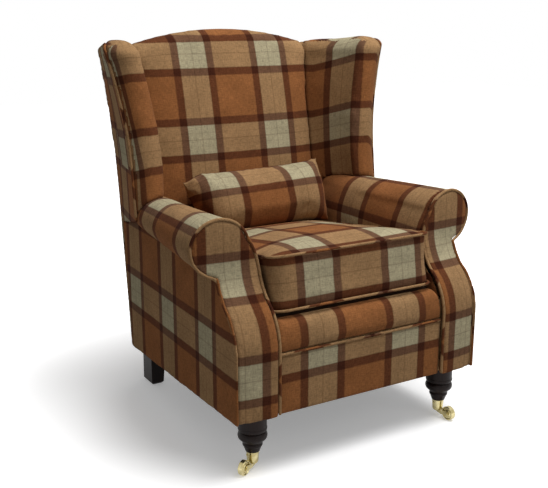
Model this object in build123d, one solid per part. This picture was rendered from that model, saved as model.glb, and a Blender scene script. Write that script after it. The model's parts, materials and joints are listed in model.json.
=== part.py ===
from build123d import *
import os
from math import cos, degrees, radians, sin, sqrt, tan

# A fireside wing chair with scroll arms, in its own frame: millimetres, +Z up, the sitter
# faces -Y, +X is to the right seen from the front. The origin is on the floor under the
# middle of the chair's bounding box. "Left" and "right" are as seen from the front.

os.makedirs("parts", exist_ok=True)

# ------------------------------------------------------------------ overall
WIDTH = 916             # across the wings' top front corners
DEPTH = 820             # arm fronts to the rear edge of the crest
HEIGHT = 1060           # floor to the middle of the crest
FRONT = -DEPTH / 2

# ------------------------------------------------------------------ cloth, pads and clearances
CLEAR = 0.3             # between a soft piece and its neighbour
SOFT_GAP = 0.8          # between curved soft pieces
COVER = 3.0             # cloth with its wadding
PANEL = 4.0             # outside panels: card, wadding and cloth
WELT_R = 4.0            # piping
WELT_PROUD = 3.0        # piping in front of a facing
DUST_CLOTH = 1.5
DUST_EDGE = 2            # its edge inside the edge of the frame
CRUMB = 3000            # mm3, a smaller piece of cloth or wadding is left out

# ------------------------------------------------------------------ base
BASE_HALF = 375         # outside of the arms at the front
BASE_Z = 153            # bottom edge at the front
BASE_FALL = 0.04        # the bottom edge drops this much per mm towards the back
SEAT_HALF = 253         # inner face of each arm
BORDER_SET = 12         # front border behind the facings
BORDER_THICK = 15
BORDER_PIPE_Z = 308
BORDER_TOP = 378        # top of the border roll
ROLL_DEPTH = 54
RAIL = 28               # thickness of the seat rails
RAIL_DROP = 40          # side rails below the front and rear rails at the top
CORNER_BLOCK = 44
CORNER_BLOCK_HIGH = 70

# ------------------------------------------------------------------ back
BACK_RAKE = 6.7         # degrees, outside back
CREST_RISE = 48
CREST_HALF = 310
CREST_BACK_DROP = 14    # rear edge of the crest below its top
CREST_FRONT_DROP = 26
BACK_PAD_LOW = 104      # inside to outside of the back at BACK_LOW_Z
BACK_PAD_TOP = 62       # the same near the crest
BACK_LOW_Z = 560
BACK_TOP_DROP = 54      # BACK_PAD_TOP lies this far below the top of the crest
BACK_TUCK_Z = 480       # below this the inside back is upright
BACK_BOTTOM_Z = 318
BACK_CROWN = 22
# Height and half width between the wings, then the same by height over the top of the crest.
BACK_HALF_LOW = [(318, 262), (505, 268), (700, 277)]
BACK_HALF_TOP = [(-210, 277), (-60, 293), (40, 312)]
POST_DEPTH = 32
POST_WIDTH = 34
POST_DROP = 110         # top of the posts below the top of the crest
TOP_RAIL_DROP = 70      # the same to the ends of the top rail
TACK_RAIL_Z = 395
TACK_RAIL_HIGH = 50
CREST_PARTS = 12        # straight runs along the crest
CREST_OVER = 14         # the crest is formed this far past CREST_HALF, then trimmed
WEBBING = 2.0
WEBBING_UP = 10         # first web above the tacking rail
WEBBING_WIDE = 50
WEBBING_ROWS = 5

# ------------------------------------------------------------------ wings
WING_BACK_HALF = 352    # half width over the outside back, up to the wings
WING_BACK_FLARE = 30
WING_FRONT_HALF = 404   # half width over the wings at their front edge, above the arms
WING_DEEP = 246         # front edge of the wing from the outside back
WING_LOW = 505          # seam between wing and arm panels at the back
WING_LOW_FRONT = 560    # the same where the wing's front edge meets the scroll
WING_DROP = 46          # top of the wing at the back, below the top of the crest
WING_RISE = 25          # the top of the wing climbs this much towards the front
WING_ROLL = 82          # width of the rolled front edge
WING_ROLL_BULGE = 26
WING_ROLL_LEAD = 12     # inner side of the roll in front of the outer seam
WING_INNER_BULGE = 9
WING_BOARD = 22
WING_BOARD_SET = 30     # front edge of the board behind the outer seam
WING_CAP = 29           # height of the rounded top
TILT_DROP = 180         # the wing climbs towards the front from this far below the crest
FLARE_FROM_BACK = 600
FLARE_FROM_FRONT = 700
FLARE_DROP = 65         # the front edge flares out up to this far below the crest
PIPE_DROP = 5           # piping below the top of the wing
PIPE_CORNER = (18, 14, 12)          # its top corner: back, down and radius
PIPE_BENDS = (26 / 59, 46 / 59)     # where it bends, in shares of the way up the flare
PIPE_BEND_R = (400, 400, 250)

# ------------------------------------------------------------------ arms
SCROLL_X = 357          # centre of the scroll at the front
SCROLL_Z = 563
SCROLL_RX = 75
SCROLL_RZ = 72
REAR_SCROLL_X = 335     # the same where the wing stands on the arm
REAR_SCROLL_Z = 566
REAR_SCROLL_RX = 63
REAR_SCROLL_RZ = 49
END_SCROLL = (322, 562, 32, 44)     # x, z and radii where it reaches the back, inside the wing
LAST_SCROLL = (320, 560, 25, 40)
NECK_ANGLE = -75        # degrees, where the scroll meets the outside panel
ARM_BEND_Z = 500        # where the inner face starts to roll over
HIP_Z = 320             # the arm front is upright below this
NECK_Z = 535            # and above this
ARM_SWEEP = 102         # the front runs back this far from hip to neck
FACING = 16
FACING_TURN = 5.7       # degrees, each facing turns out in plan
STUMP_DEEP = 46
STUMP_IN = 292
STUMP_WIDE = 56
ARM_RAIL_HIGH = 30
ARM_RAIL_WIDE = 26
ARM_RAIL_Z = 520
ARM_TUCK = 26           # the arm's cloth goes this far below the top of the border roll
ARM_PAD_LOW = 470
PANEL_OVER = 4          # the outside panel reaches this far over the bottom of the scroll
PANEL_REAR_DROP = 44    # top of the panel below the scroll's centre, where the wing starts
PANEL_MID_DROP = 37     # the same half way under the wing
UNDERCUT = 52           # lower edge of the scroll's cloth outside, below the scroll's centre
UNDERCUT_IN = 80        # and of the cloth inside, below the bend

# ------------------------------------------------------------------ seat
SEAT_PITCH = 8.0        # degrees, the seat falls towards the back
CUSHION_SET = 34        # lower piping of the cushion behind the arm fronts
CUSHION_Z = 407
CUSHION_ROOM = 35.9766  # the inside back beyond the length of the cushion
CUSHION_HIGH = 134      # between the two rows of piping
CUSHION_GAP = 0.6       # to each arm
CUSHION_CORNER = 34
CROWN_TOP = 20
CROWN_LOW = 10
DRAW_IN = 4             # sides of the boxing, between the corners
PLATFORM = 30
SPRING_CLOTH = 1.5
SPRING_WIRE = 1.9       # radius
SPRINGS = 5
SPRING_BENDS = 13
SPRING_SWAY = 20        # half width of a zigzag spring
CLIP = 1.5              # thickness of a spring clip over the wire
CLIP_HALF = 7
ZIP_LONG = 320
ZIP_HIGH = 8

# ------------------------------------------------------------------ lumbar cushion
LUMBAR_WIDE = 466
LUMBAR_HIGH = 186
LUMBAR_THICK = 142
LUMBAR_TILT = 20        # degrees back from upright
LUMBAR_ROLL = 1.2       # degrees, right end up
LUMBAR_X = 8
LUMBAR_SET = 92.25      # middle of the cushion in front of the inside back
LUMBAR_Z = 573.9
LUMBAR_DRAW = 9
LUMBAR_SAG = 18         # its lower side follows the crown of the seat

# ------------------------------------------------------------------ legs and castors
LEG_X = 302
LEG_SET = 61            # front legs behind the arm fronts
LEG_TOP_R = 36
# Turned profile of a front leg, from its collar down to the ankle: (radius, height) points and arcs.
LEG_TURNING = [
    (LEG_TOP_R, 117),
    ((37, 111), (35, 106)),
    (32, 104),
    ((37.5, 93), (31, 81)),
    (25, 74),
    (24, 72),
    ((25.5, 68), (23, 63)),
]
ANKLE_R = 17.8          # where the leg meets the castor cup
WHEEL_R = 19.5
WHEEL_WIDE = 14
WHEEL_HUB_R = 9
WHEEL_WEB_R = (11, 14.5)
WHEEL_RIM_R = 16.5
WHEEL_WEB_SET = 2.2     # the web lies this deep in each side of the wheel
WHEEL_ROUND = 1.6
TRAIL = 41
CUP_TOP = 49
CUP_BOTTOM = 21
CUP_R_TOP = 16.5
CUP_R_LOW = 14.5
CUP_WALL = 1.6
CUP_FLOOR = 3.0
PIN_R = 3.0
PIN_HIGH = 20
RUN = 0.05              # radial running clearance
AXLE_R = 2.5
AXLE_HEAD = 1.5
EYE_R = 6.5             # end of the horn around the axle
HORN = 2.6              # thickness of the horn plates
HORN_GAP = 0.6          # between wheel and horn
SWIVEL_GAP = 0.5
LEFT_SWIVEL = 208.4     # degrees, where each wheel trails at rest
RIGHT_SWIVEL = -83.5
REAR_LEG_IN = 40.0966   # middle of the rear leg's top in front of the outside back
REAR_LEG_KICK = 24      # the foot stands this far behind the top
REAR_LEG_X = 297
REAR_SOLE_X = 292
REAR_TOP_HALF = (24, 30)
REAR_SOLE_HALF = (19.5, 32)
CHAMFER = 6
LEG_ROOM = 40           # free of dust cover around a leg's middle
BOLT_R = 4.0
BOLT_IN = 34            # length of a hanger bolt in the leg
BOLT_UP = 40            # and in the frame above it
BOLT_AWAY = (9, 15)     # rear bolt beside and behind the leg's middle
SCREW_R = 1.5
SCREW_LONG = 9
SCREW_HEAD = 2.7
SCREW_DOWN = 9          # below the rim of the cup
FIT = 0.1               # wood to brass at the shoulder and the end of the tenon


# ------------------------------------------------------------------ drawing helpers
def outline(*steps):
    """A closed wire. A step is a point for a straight run, or (via, end) for an arc."""
    start = steps[0]
    here = start
    edges = []
    for step in steps[1:]:
        if isinstance(step[0], tuple):
            edges.append(Edge.make_three_point_arc(here, step[0], step[1]))
            here = step[1]
        else:
            edges.append(Edge.make_line(here, step))
            here = step
    if (Vector(*here) - Vector(*start)).length > 1e-6:
        edges.append(Edge.make_line(here, start))
    return Wire(edges)


def lifted(steps, place):
    """The steps of a flat outline, with each point put in space by place()."""
    made = []
    for step in steps:
        if isinstance(step[0], tuple):
            made.append(tuple(place(*point) for point in step))
        else:
            made.append(place(*step))
    return made


def side_prism(x_from, x_to, steps):
    """An outline of (y, z) points, pulled from x_from to x_to."""
    wire = outline(*lifted(steps, lambda y, z: (x_from, y, z)))
    return Solid.extrude(Face(wire), Vector(x_to - x_from, 0, 0))


def front_prism(y_from, y_to, steps):
    """An outline of (x, z) points, pulled from y_from to y_to."""
    wire = outline(*lifted(steps, lambda x, z: (x, y_from, z)))
    return Solid.extrude(Face(wire), Vector(0, y_to - y_from, 0))


def block(x_from, x_to, y_from, y_to, z_from, z_to):
    return Solid.make_box(x_to - x_from, y_to - y_from, z_to - z_from, Plane((x_from, y_from, z_from)))


def rod(radius, start, end):
    """A round rod between two points."""
    run = Vector(*end) - Vector(*start)
    return Solid.make_cylinder(radius, run.length, Plane(origin=start, z_dir=run))


def bolt_and_hole(x, y, foot):
    """An upright bolt through the joint between leg and frame, and its hole."""
    low = foot - BOLT_IN
    high = foot + BOLT_UP
    return rod(BOLT_R, (x, y, low), (x, y, high)), rod(BOLT_R + RUN, (x, y, low - 1), (x, y, high + 1))


def turned(steps, axis=Axis.Z):
    """A solid of revolution from an outline of (radius, height) points."""
    if axis == Axis.Z:
        wire = outline(*lifted(steps, lambda r, h: (r, 0, h)))
    else:
        wire = outline(*lifted(steps, lambda r, h: (r, h, 0)))
    return Solid.revolve(Face(wire), 360, axis)


def tube_along(path, radius):
    """A round tube along a wire of lines and tangent arcs."""
    ring = Plane(origin=path @ 0, z_dir=path % 0) * Circle(radius)
    return Solid.sweep(ring.face(), path)


def cut(body, *tools):
    solids = body.solids()
    for tool in tools:
        left = []
        for solid in solids:
            left += (solid - tool).solids()
        solids = left
    return Compound(solids)


def common(body, tool):
    return Compound((body & tool).solids())


def large(body):
    """Leaves out the crumbs of cloth and wadding that a cut can make."""
    return Compound([solid for solid in body.solids() if solid.volume > CRUMB])


def other_side(shape):
    return Compound([solid.mirror(Plane.YZ) for solid in shape.solids()])


def save(name, *shapes):
    """Write one node. Shapes given together are separate solids of it."""
    solids = [solid for shape in shapes for solid in shape.solids()]
    whole = solids[0] if len(solids) == 1 else Compound(solids)
    export_step(whole, f"parts/{name}.step")


def save_pair(name, shape):
    save(f"{name}_right", shape)
    save(f"{name}_left", other_side(shape))


# ------------------------------------------------------------------ reference surfaces
FAR = WIDTH             # long enough to reach past the chair
RAKE = tan(radians(BACK_RAKE))
CREST_EDGE_Z = HEIGHT - CREST_BACK_DROP
CREST_REACH = CREST_HALF + CREST_OVER
CREST_RUN = 2 * CREST_REACH / CREST_PARTS
FACING_IN = SEAT_HALF + WELT_R
FACING_OUT = BASE_HALF - WELT_R
FACING_Y = FRONT + WELT_PROUD + (FACING_OUT - FACING_IN) * tan(radians(FACING_TURN))
BORDER_Y = FRONT + BORDER_SET
FRONT_RAIL_Y = BORDER_Y + BORDER_THICK
FRONT_RAIL_BACK = FRONT_RAIL_Y + RAIL
POST_BACK = PANEL + CLEAR
POST_FRONT = POST_BACK + POST_DEPTH
PAD_BACK = POST_FRONT + WEBBING + CLEAR
LEG_Y = FRONT + LEG_SET
POST_TOP = HEIGHT - POST_DROP
TOP_RAIL_END_Z = HEIGHT - TOP_RAIL_DROP
BACK_TOP_Z = HEIGHT - BACK_TOP_DROP
BACK_HALF_AT = BACK_HALF_LOW + [(HEIGHT + rise, half) for rise, half in BACK_HALF_TOP]
WING_REAR_TOP = HEIGHT - WING_DROP
TILT_FROM = HEIGHT - TILT_DROP
FLARE_TO_FRONT = HEIGHT - FLARE_DROP


def between(a, b, share):
    return a + (b - a) * share


def rake_y(z, forward=0.0):
    """Y of the raked back at a height, so far in front of its outside face."""
    return DEPTH / 2 - (CREST_EDGE_Z - z) * RAKE - forward / cos(radians(BACK_RAKE))


def raked(z, forward):
    """The (y, z) of a point square off the outside back, from height z on it."""
    angle = radians(BACK_RAKE)
    return (rake_y(z) - forward * cos(angle), z + forward * sin(angle))


def base_z(y):
    """Height of the bottom edge of the cloth."""
    return BASE_Z - BASE_FALL * (y - FACING_Y)


REAR_LEG_Y = rake_y(BASE_Z) - REAR_LEG_IN
REAR_FOOT = base_z(REAR_LEG_Y - REAR_TOP_HALF[1])


def foot_z(y):
    """Underside of the seat frame: level over the front legs, then falling to the rear legs."""
    start = LEG_Y + LEG_ROOM
    end = REAR_LEG_Y - REAR_TOP_HALF[1]
    return between(BASE_Z, REAR_FOOT, min(1, max(0, (y - start) / (end - start))))


def crest_z(x):
    """Top of the crest, in straight runs that follow its arch."""
    low = CREST_RUN * int(abs(x) / CREST_RUN)
    z_a = HEIGHT - CREST_RISE * (low / CREST_HALF) ** 2
    z_b = HEIGHT - CREST_RISE * ((low + CREST_RUN) / CREST_HALF) ** 2
    return between(z_a, z_b, (abs(x) - low) / CREST_RUN)


def crest_line(half, drop):
    """Points along the crest from left to right, lowered by drop."""
    spots = [k * CREST_RUN for k in range(-CREST_PARTS, CREST_PARTS) if abs(k * CREST_RUN) < half - 1]
    return [(x, crest_z(x) - drop) for x in [-half, *spots, half]]


def pad_deep(z):
    """Inside back to outside back, measured along Y."""
    share = (max(z, BACK_TUCK_Z) - BACK_LOW_Z) / (BACK_TOP_Z - BACK_LOW_Z)
    return between(BACK_PAD_LOW, BACK_PAD_TOP, share)


def inside_y(z):
    """Y of the inside back beside the wings."""
    return rake_y(max(z, BACK_TUCK_Z)) - pad_deep(z)


def back_half(z):
    """Half width of the inside back between the wings."""
    spots = BACK_HALF_AT
    for (z_a, x_a), (z_b, x_b) in zip(spots, spots[1:]):
        if z <= z_b:
            return between(x_a, x_b, (z - z_a) / (z_b - z_a))
    return spots[-1][1]


def wing_back_x(z):
    """Half width over the outside of the chair, at the raked back."""
    share = max(0.0, z - FLARE_FROM_BACK) / (WING_REAR_TOP - FLARE_FROM_BACK)
    return WING_BACK_HALF + WING_BACK_FLARE * share ** 1.8


def wing_front_x(z):
    """Half width over the wings at their front edge, inside the piping."""
    share = min(1, max(0, z - FLARE_FROM_FRONT) / (FLARE_TO_FRONT - FLARE_FROM_FRONT))
    flare = WIDTH / 2 - WELT_R - WING_FRONT_HALF
    return WING_FRONT_HALF + flare * share ** 2


def wing_tilt(z, y):
    """How far a level of the wing is raised at y: nothing at the back, most at the front."""
    share = max(0.0, z - TILT_FROM) / (WING_REAR_TOP - TILT_FROM)
    return WING_RISE * share * (rake_y(z) - y) / WING_DEEP


BACK_PLANE = Plane(
    origin=(0, rake_y(0), 0),
    x_dir=(1, 0, 0),
    z_dir=(0, -cos(radians(BACK_RAKE)), sin(radians(BACK_RAKE))),
)
SEAT_PLANE = Plane(
    origin=(0, FRONT + CUSHION_SET, CUSHION_Z),
    x_dir=(1, 0, 0),
    z_dir=(0, sin(radians(SEAT_PITCH)), cos(radians(SEAT_PITCH))),
)


def back_plate(forward_from, forward_to, steps):
    """A plate in the raked back, from an outline of (x, z) points."""
    up = 1 / cos(radians(BACK_RAKE))
    flat = lifted(steps, lambda x, z: (x, z * up, forward_from))
    plate = Solid.extrude(Face(outline(*flat)), Vector(0, 0, forward_to - forward_from))
    return plate.moved(BACK_PLANE.location)


def back_board(forward_from, forward_to, half, z_from, z_to):
    """A plain rectangle in the raked back."""
    corners = [(-half, z_from), (half, z_from), (half, z_to), (-half, z_to)]
    return back_plate(forward_from, forward_to, corners)


def deck_z(y, below):
    """Height of a plane parallel to the cushion, so far below its flat underside."""
    run = (y - (FRONT + CUSHION_SET)) * tan(radians(SEAT_PITCH))
    return CUSHION_Z - run - (CROWN_LOW + below) / cos(radians(SEAT_PITCH))


def deck_slab(half, y_from, y_to, near, far):
    """A slab parallel to the cushion between two depths below its underside."""
    steps = [
        (y_from, deck_z(y_from, far)),
        (y_to, deck_z(y_to, far)),
        (y_to, deck_z(y_to, near)),
        (y_from, deck_z(y_from, near)),
    ]
    return side_prism(-half, half, steps)


# Depths below the cushion of the layers of the seat.
CLOTH_AT = CLEAR + PLATFORM
CLIPS_AT = CLOTH_AT + SPRING_CLOTH
WIRE_AT = CLIPS_AT + CLIP + SPRING_WIRE
RAILS_AT = WIRE_AT + SPRING_WIRE
deck_space = deck_slab(FAR, -FAR, FAR, -FAR, RAILS_AT)
back_space = back_board(-FAR, PAD_BACK, FAR, 0, HEIGHT + 100)


# ------------------------------------------------------------------ arms
def arm_front_steps(back):
    """The S curve of the arm's front edge, as (y, z) steps from the bottom up."""
    rise = NECK_Z - HIP_Z
    radius = (ARM_SWEEP ** 2 + rise ** 2) / (4 * ARM_SWEEP)
    turn = sqrt(1 - (rise / 2 / radius) ** 2)
    half_z = sqrt((1 + turn) / 2)
    half_y = sqrt(1 - half_z ** 2)
    low = FACING_Y + back
    high = low + ARM_SWEEP
    middle = (low + ARM_SWEEP / 2, (HIP_Z + NECK_Z) / 2)
    hip_via = (low + radius * (1 - half_z), HIP_Z + radius * half_y)
    neck_via = (high - radius * (1 - half_z), NECK_Z - radius * half_y)
    return [(low, HIP_Z), (hip_via, middle), (neck_via, (high, NECK_Z)), (high, SCROLL_Z + 2 * SCROLL_RZ)]


def arm_front_slab(back_from, back_to):
    """The space between two copies of the arm's S shaped front, turned out in plan."""
    near = arm_front_steps(back_from)
    far = arm_front_steps(back_to)
    low_z = BASE_Z - 40
    steps = [(near[0][0], low_z)] + near
    steps += [far[3], far[2][1], (far[2][0], far[1][1]), (far[1][0], far[0]), (far[0][0], low_z)]
    slab = side_prism(SEAT_HALF - 60, WIDTH / 2 + 40, steps)
    return slab.rotate(Axis((FACING_OUT, FACING_Y, 0), (0, 0, 1)), FACING_TURN)


def on_ellipse(x, z, rx, rz, angle):
    return (x + rx * cos(radians(angle)), z + rz * sin(radians(angle)))


def arm_outline(scroll, inner, outer, low, grow):
    """Front view of one arm, as (x, z) steps: up the inner face, over the scroll, down outside."""
    x, z, rx, rz = scroll
    rx, rz = rx + grow, rz + grow
    inner = inner - grow
    lip = on_ellipse(x, z, rx, rz, 164)
    bend = (inner, ARM_BEND_Z)
    bend_via = (between(inner, lip[0], 0.5) - 5, between(ARM_BEND_Z, lip[1], 0.5) + 2)
    neck = on_ellipse(x, z, rx, rz, NECK_ANGLE)
    outer = min(outer, on_ellipse(*scroll, NECK_ANGLE)[0] - 1) + grow
    return [
        (inner, low),
        bend,
        (bend_via, lip),
        (on_ellipse(x, z, rx, rz, 127), (x, z + rz)),
        (on_ellipse(x, z, rx, rz, 45), (x + rx, z)),
        (on_ellipse(x, z, rx, rz, -38), neck),
        (outer, neck[1]),
        (outer, low),
    ]


FRONT_SCROLL = (SCROLL_X, SCROLL_Z, SCROLL_RX, SCROLL_RZ)
WING_SCROLL = (REAR_SCROLL_X, REAR_SCROLL_Z, REAR_SCROLL_RX, REAR_SCROLL_RZ)
PANEL_RUN = rake_y(BASE_Z) - FACING_Y
PANEL_TURN = degrees((BASE_HALF - WING_BACK_HALF) / PANEL_RUN)
ARM_BEHIND = FACING_Y + ARM_SWEEP
ARM_WING_Y = rake_y(SCROLL_Z) - WING_DEEP + 12
ARM_END_Y = rake_y(BACK_LOW_Z, PAD_BACK)
ARM_LOW = BORDER_TOP - ARM_TUCK
STUMP_BACK = FACING + 2 * CLEAR + STUMP_DEEP
STUMP_TOP = SCROLL_Z + 20
RAIL_TOP = ARM_RAIL_Z + ARM_RAIL_HIGH


def panel_x(y):
    """Inner face of the outside arm panel."""
    return BASE_HALF - PANEL - (BASE_HALF - WING_BACK_HALF) * (y - FACING_Y) / PANEL_RUN


def facing_outline(grow, low):
    return arm_outline(FRONT_SCROLL, FACING_IN, FACING_OUT, low, grow)


def arm_body(grow, low):
    """The arm behind its facing, with a scroll that shrinks into the wing."""
    stations = [
        (FACING_Y - 60, FRONT_SCROLL),
        (ARM_BEHIND, FRONT_SCROLL),
        (ARM_WING_Y, WING_SCROLL),
        (ARM_END_Y, END_SCROLL),
        (ARM_END_Y + 40, LAST_SCROLL),
    ]
    wires = []
    for y, scroll in stations:
        steps = arm_outline(scroll, SEAT_HALF, panel_x(y) - CLEAR, low, grow)
        wires.append(outline(*lifted(steps, lambda px, pz: (px, y, pz))))
    return Solid.make_loft(wires, True)


arm_form = arm_body(0, ARM_LOW)
arm_space = cut(
    arm_body(SOFT_GAP, ARM_LOW - 20),
    block(0, FAR, -FAR, FAR, 0, ARM_LOW - CLEAR),
)
behind_facing = arm_front_slab(-200, FACING + CLEAR)
below_scroll = front_prism(
    -FAR,
    FAR,
    [
        (SEAT_HALF + COVER, ARM_LOW - 40),
        (FAR, ARM_LOW - 40),
        (FAR, SCROLL_Z - UNDERCUT),
        (BASE_HALF - 15, SCROLL_Z - UNDERCUT),
        (SEAT_HALF + COVER, ARM_BEND_Z - UNDERCUT_IN),
    ],
)
front_rail_space = deck_slab(FAR, FRONT_RAIL_Y - CLEAR, FRONT_RAIL_BACK + CLEAR, RAILS_AT - CLEAR, FAR)
arm_cover = cut(
    arm_form,
    arm_body(-COVER, ARM_LOW - 20),
    below_scroll,
    behind_facing,
    back_space,
    front_rail_space,
)
save_pair("arm_cover", large(arm_cover))

stump_block = block(STUMP_IN, STUMP_IN + STUMP_WIDE, FRONT, 0, BASE_Z, STUMP_TOP)
arm_stump = common(arm_front_slab(FACING + 2 * CLEAR, STUMP_BACK), stump_block)
front_bolt, front_bolt_hole = bolt_and_hole(LEG_X, LEG_Y, BASE_Z)
save_pair("arm_stump", cut(arm_stump, front_bolt_hole))

arm_rail = side_prism(
    STUMP_IN,
    STUMP_IN + ARM_RAIL_WIDE,
    [
        (ARM_BEHIND, ARM_RAIL_Z),
        (rake_y(ARM_RAIL_Z, POST_FRONT), ARM_RAIL_Z),
        (rake_y(RAIL_TOP, POST_FRONT), RAIL_TOP),
        (ARM_BEHIND, RAIL_TOP),
    ],
)
save_pair("arm_rail", cut(arm_rail, arm_front_slab(-200, STUMP_BACK)))

stump_space = common(
    arm_front_slab(FACING, STUMP_BACK + CLEAR),
    block(STUMP_IN - CLEAR, STUMP_IN + STUMP_WIDE + CLEAR, FRONT, 0, 0, STUMP_TOP + CLEAR),
)
rail_space = block(STUMP_IN - CLEAR, STUMP_IN + ARM_RAIL_WIDE + CLEAR, ARM_BEHIND, FAR, 0, RAIL_TOP + CLEAR)
arm_pad = cut(
    common(arm_body(-COVER - SOFT_GAP, ARM_LOW), block(0, FAR, ARM_BEHIND, FAR, ARM_PAD_LOW, HEIGHT)),
    arm_front_slab(-200, FACING + 2 * CLEAR),
    stump_space,
    rail_space,
    back_space,
)
save("arm_pads", large(arm_pad), large(other_side(arm_pad)))

facing_band = arm_front_slab(0, FACING)
facing_shape = front_prism(FRONT - 50, 0, facing_outline(-WELT_R - 0.1, BASE_Z))
save_pair("arm_facing", common(facing_band, facing_shape))
welt_ring = cut(
    front_prism(FRONT - 50, 0, facing_outline(WELT_R, BASE_Z)),
    front_prism(FRONT - 60, 10, facing_outline(-WELT_R, BASE_Z - 30)),
)
facing_piping = common(arm_front_slab(-WELT_PROUD, FACING), welt_ring)
save("facing_piping", facing_piping, other_side(facing_piping))

# Outside arm panel: flat cloth and card from the facing to the back, turned in towards the back.
panel_end = rake_y(WING_LOW, PANEL + CLEAR)
panel_foot = base_z(rake_y(BASE_Z))
under_wing = between(ARM_WING_Y, panel_end, 0.5)
arm_panel = side_prism(
    BASE_HALF - PANEL,
    BASE_HALF,
    [
        (FACING_Y, base_z(FACING_Y)),
        (rake_y(panel_foot, PANEL + CLEAR), panel_foot),
        (panel_end, WING_LOW - CLEAR),
        (under_wing, SCROLL_Z - PANEL_MID_DROP),
        (ARM_WING_Y, SCROLL_Z - PANEL_REAR_DROP),
        (ARM_BEHIND, SCROLL_Z - SCROLL_RZ + PANEL_OVER),
        (FACING_Y, SCROLL_Z - SCROLL_RZ + PANEL_OVER),
    ],
)
arm_panel = arm_panel.rotate(Axis((BASE_HALF, FACING_Y, 0), (0, 0, 1)), PANEL_TURN)
below_neck = block(0, FAR, -FAR, FAR, 0, ARM_PAD_LOW - 10)
scroll_space = cut(arm_space, below_neck)
save_pair("outside_arm", large(cut(arm_panel, behind_facing, scroll_space)))


# ------------------------------------------------------------------ wings
MIDDLE_LEVEL = between(FLARE_FROM_FRONT, TILT_FROM, 5 / 9)
WING_LEVELS = [WING_LOW, FLARE_FROM_BACK, FLARE_FROM_FRONT, MIDDLE_LEVEL, TILT_FROM, POST_TOP]
WING_LEVELS.append(WING_REAR_TOP - WING_CAP)
# Rounded top: share of its height, sides drawn in, front edge drawn back, roll left.
CAP_LEVELS = [(0.5, 4, 10, 0.85), (0.83, 12, 24, 0.6), (1.0, 24, 44, 0.25)]


def wing_line(z):
    """Outer line of a wing in plan: its rear end, front end, direction and inward direction."""
    rear = Vector(wing_back_x(z), rake_y(z))
    front = Vector(wing_front_x(z), rake_y(z) - WING_DEEP)
    along = (rear - front).normalized()
    return rear, front, along, Vector(-along.Y, along.X)


def wing_wire(z, skin, end, side_in=0.0, front_in=0.0, swell=1.0):
    """One level of a wing's upholstery, set in by skin, ending so far before the outside back."""
    rear, front, along, inward = wing_line(z)
    rear_y = rake_y(z, end)
    start = front + inward * (PANEL + CLEAR + skin) + along * skin
    outer_rear = start + along * ((rear_y - start.Y) / along.Y)
    inner_front = front + Vector(-WING_ROLL + skin, -WING_ROLL_LEAD)
    bulge_y = (WING_ROLL_BULGE + WING_ROLL_LEAD / 2) * swell - skin
    roll = Vector((start.X + inner_front.X) / 2, front.Y - bulge_y)
    corner_z = z + wing_tilt(z, inside_y(z))
    corner = Vector(back_half(corner_z) + CLEAR + skin, inside_y(corner_z))
    side = (corner - inner_front).normalized()
    bulge = (corner + inner_front) * 0.5 - Vector(-side.Y, side.X) * WING_INNER_BULGE
    inner_rear = Vector(corner.X, rear_y)

    def put(point, inset, back):
        x = point.X + inset
        y = point.Y + back
        return (x, y, z + wing_tilt(z, y))

    return outline(
        put(outer_rear, -side_in, 0),
        put(start, -side_in, front_in),
        (put(roll, 0, front_in), put(inner_front, side_in, front_in)),
        (put(bulge, side_in, front_in / 2), put(corner, side_in, 0)),
        put(inner_rear, side_in, 0),
    )


def wing_body(skin, end, lower=0.0):
    """The whole wing, from its seam with the arm panel to its rounded top."""
    wires = [wing_wire(WING_LOW - lower, skin, end)]
    wires += [wing_wire(z, skin, end) for z in WING_LEVELS[1:]]
    for share, side_in, front_in, swell in CAP_LEVELS:
        z = WING_LEVELS[-1] + (WING_CAP - skin) * share
        wires.append(wing_wire(z, skin, end, side_in, front_in, swell))
    return Solid.make_loft(wires, True)


def wing_slab(near, far, end, levels):
    """A board along the wing's outer face. A level is its height and the set-back of its front."""
    wires = []
    for z, set_back in levels:
        rear, front, along, inward = wing_line(z)
        rear_y = rake_y(z, end)
        corners = []
        for depth in (near, far):
            start = front + inward * depth + along * set_back
            corners.append([start, start + along * ((rear_y - start.Y) / along.Y)])
        (a, b), (d, c) = corners
        wires.append(outline(*[(p.X, p.Y, z + wing_tilt(z, p.Y)) for p in (a, b, c, d)]))
    return Solid.make_loft(wires, True)


def set_back_levels(set_back, top, corner):
    """Levels of a board whose front edge turns back in its top corner."""
    levels = [(z, set_back) for z in WING_LEVELS[:-1] if z < top - corner]
    turn = [(0, 0), (0.6, 0.2), (1, 0.6)]
    return levels + [(top - corner * (1 - up), set_back + corner * back) for up, back in turn]


BOARD_TOP = WING_LEVELS[-1]
PIPE_TOP = WING_REAR_TOP - PIPE_DROP
PANEL_TOP = PIPE_TOP - WELT_R - CLEAR
BOARD_FACE = PANEL + WING_BOARD
under_line = [
    (rake_y(WING_LOW) - WING_DEEP - 80, WING_LOW_FRONT + 12),
    (rake_y(WING_LOW), WING_LOW),
    (rake_y(WING_LOW) + 60, WING_LOW),
    (rake_y(WING_LOW) + 60, WING_LOW - 100),
    (rake_y(WING_LOW) - WING_DEEP - 80, WING_LOW - 100),
]
under_wing_space = side_prism(0, FAR, under_line)
post_x = [(wing_back_x(z) - BOARD_FACE - CLEAR, z) for z in WING_LEVELS]
post_space = back_plate(
    -20,
    PAD_BACK + 1,
    [(0, WING_LOW - 60), (post_x[0][0], WING_LOW - 60)] + post_x[:-1]
    + [(post_x[-1][0], TOP_RAIL_END_Z + 2 * CLEAR), (0, TOP_RAIL_END_Z + 2 * CLEAR)],
)
wing_form = wing_body(0, PANEL + CLEAR)
wing_side_space = wing_slab(-10, PANEL + 2 * CLEAR + COVER, -20, [(z, 6) for z in WING_LEVELS])
wing_cover = cut(
    wing_form,
    wing_body(COVER, -10, lower=30),
    wing_side_space,
    arm_space,
    under_wing_space,
    post_space,
)
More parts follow.
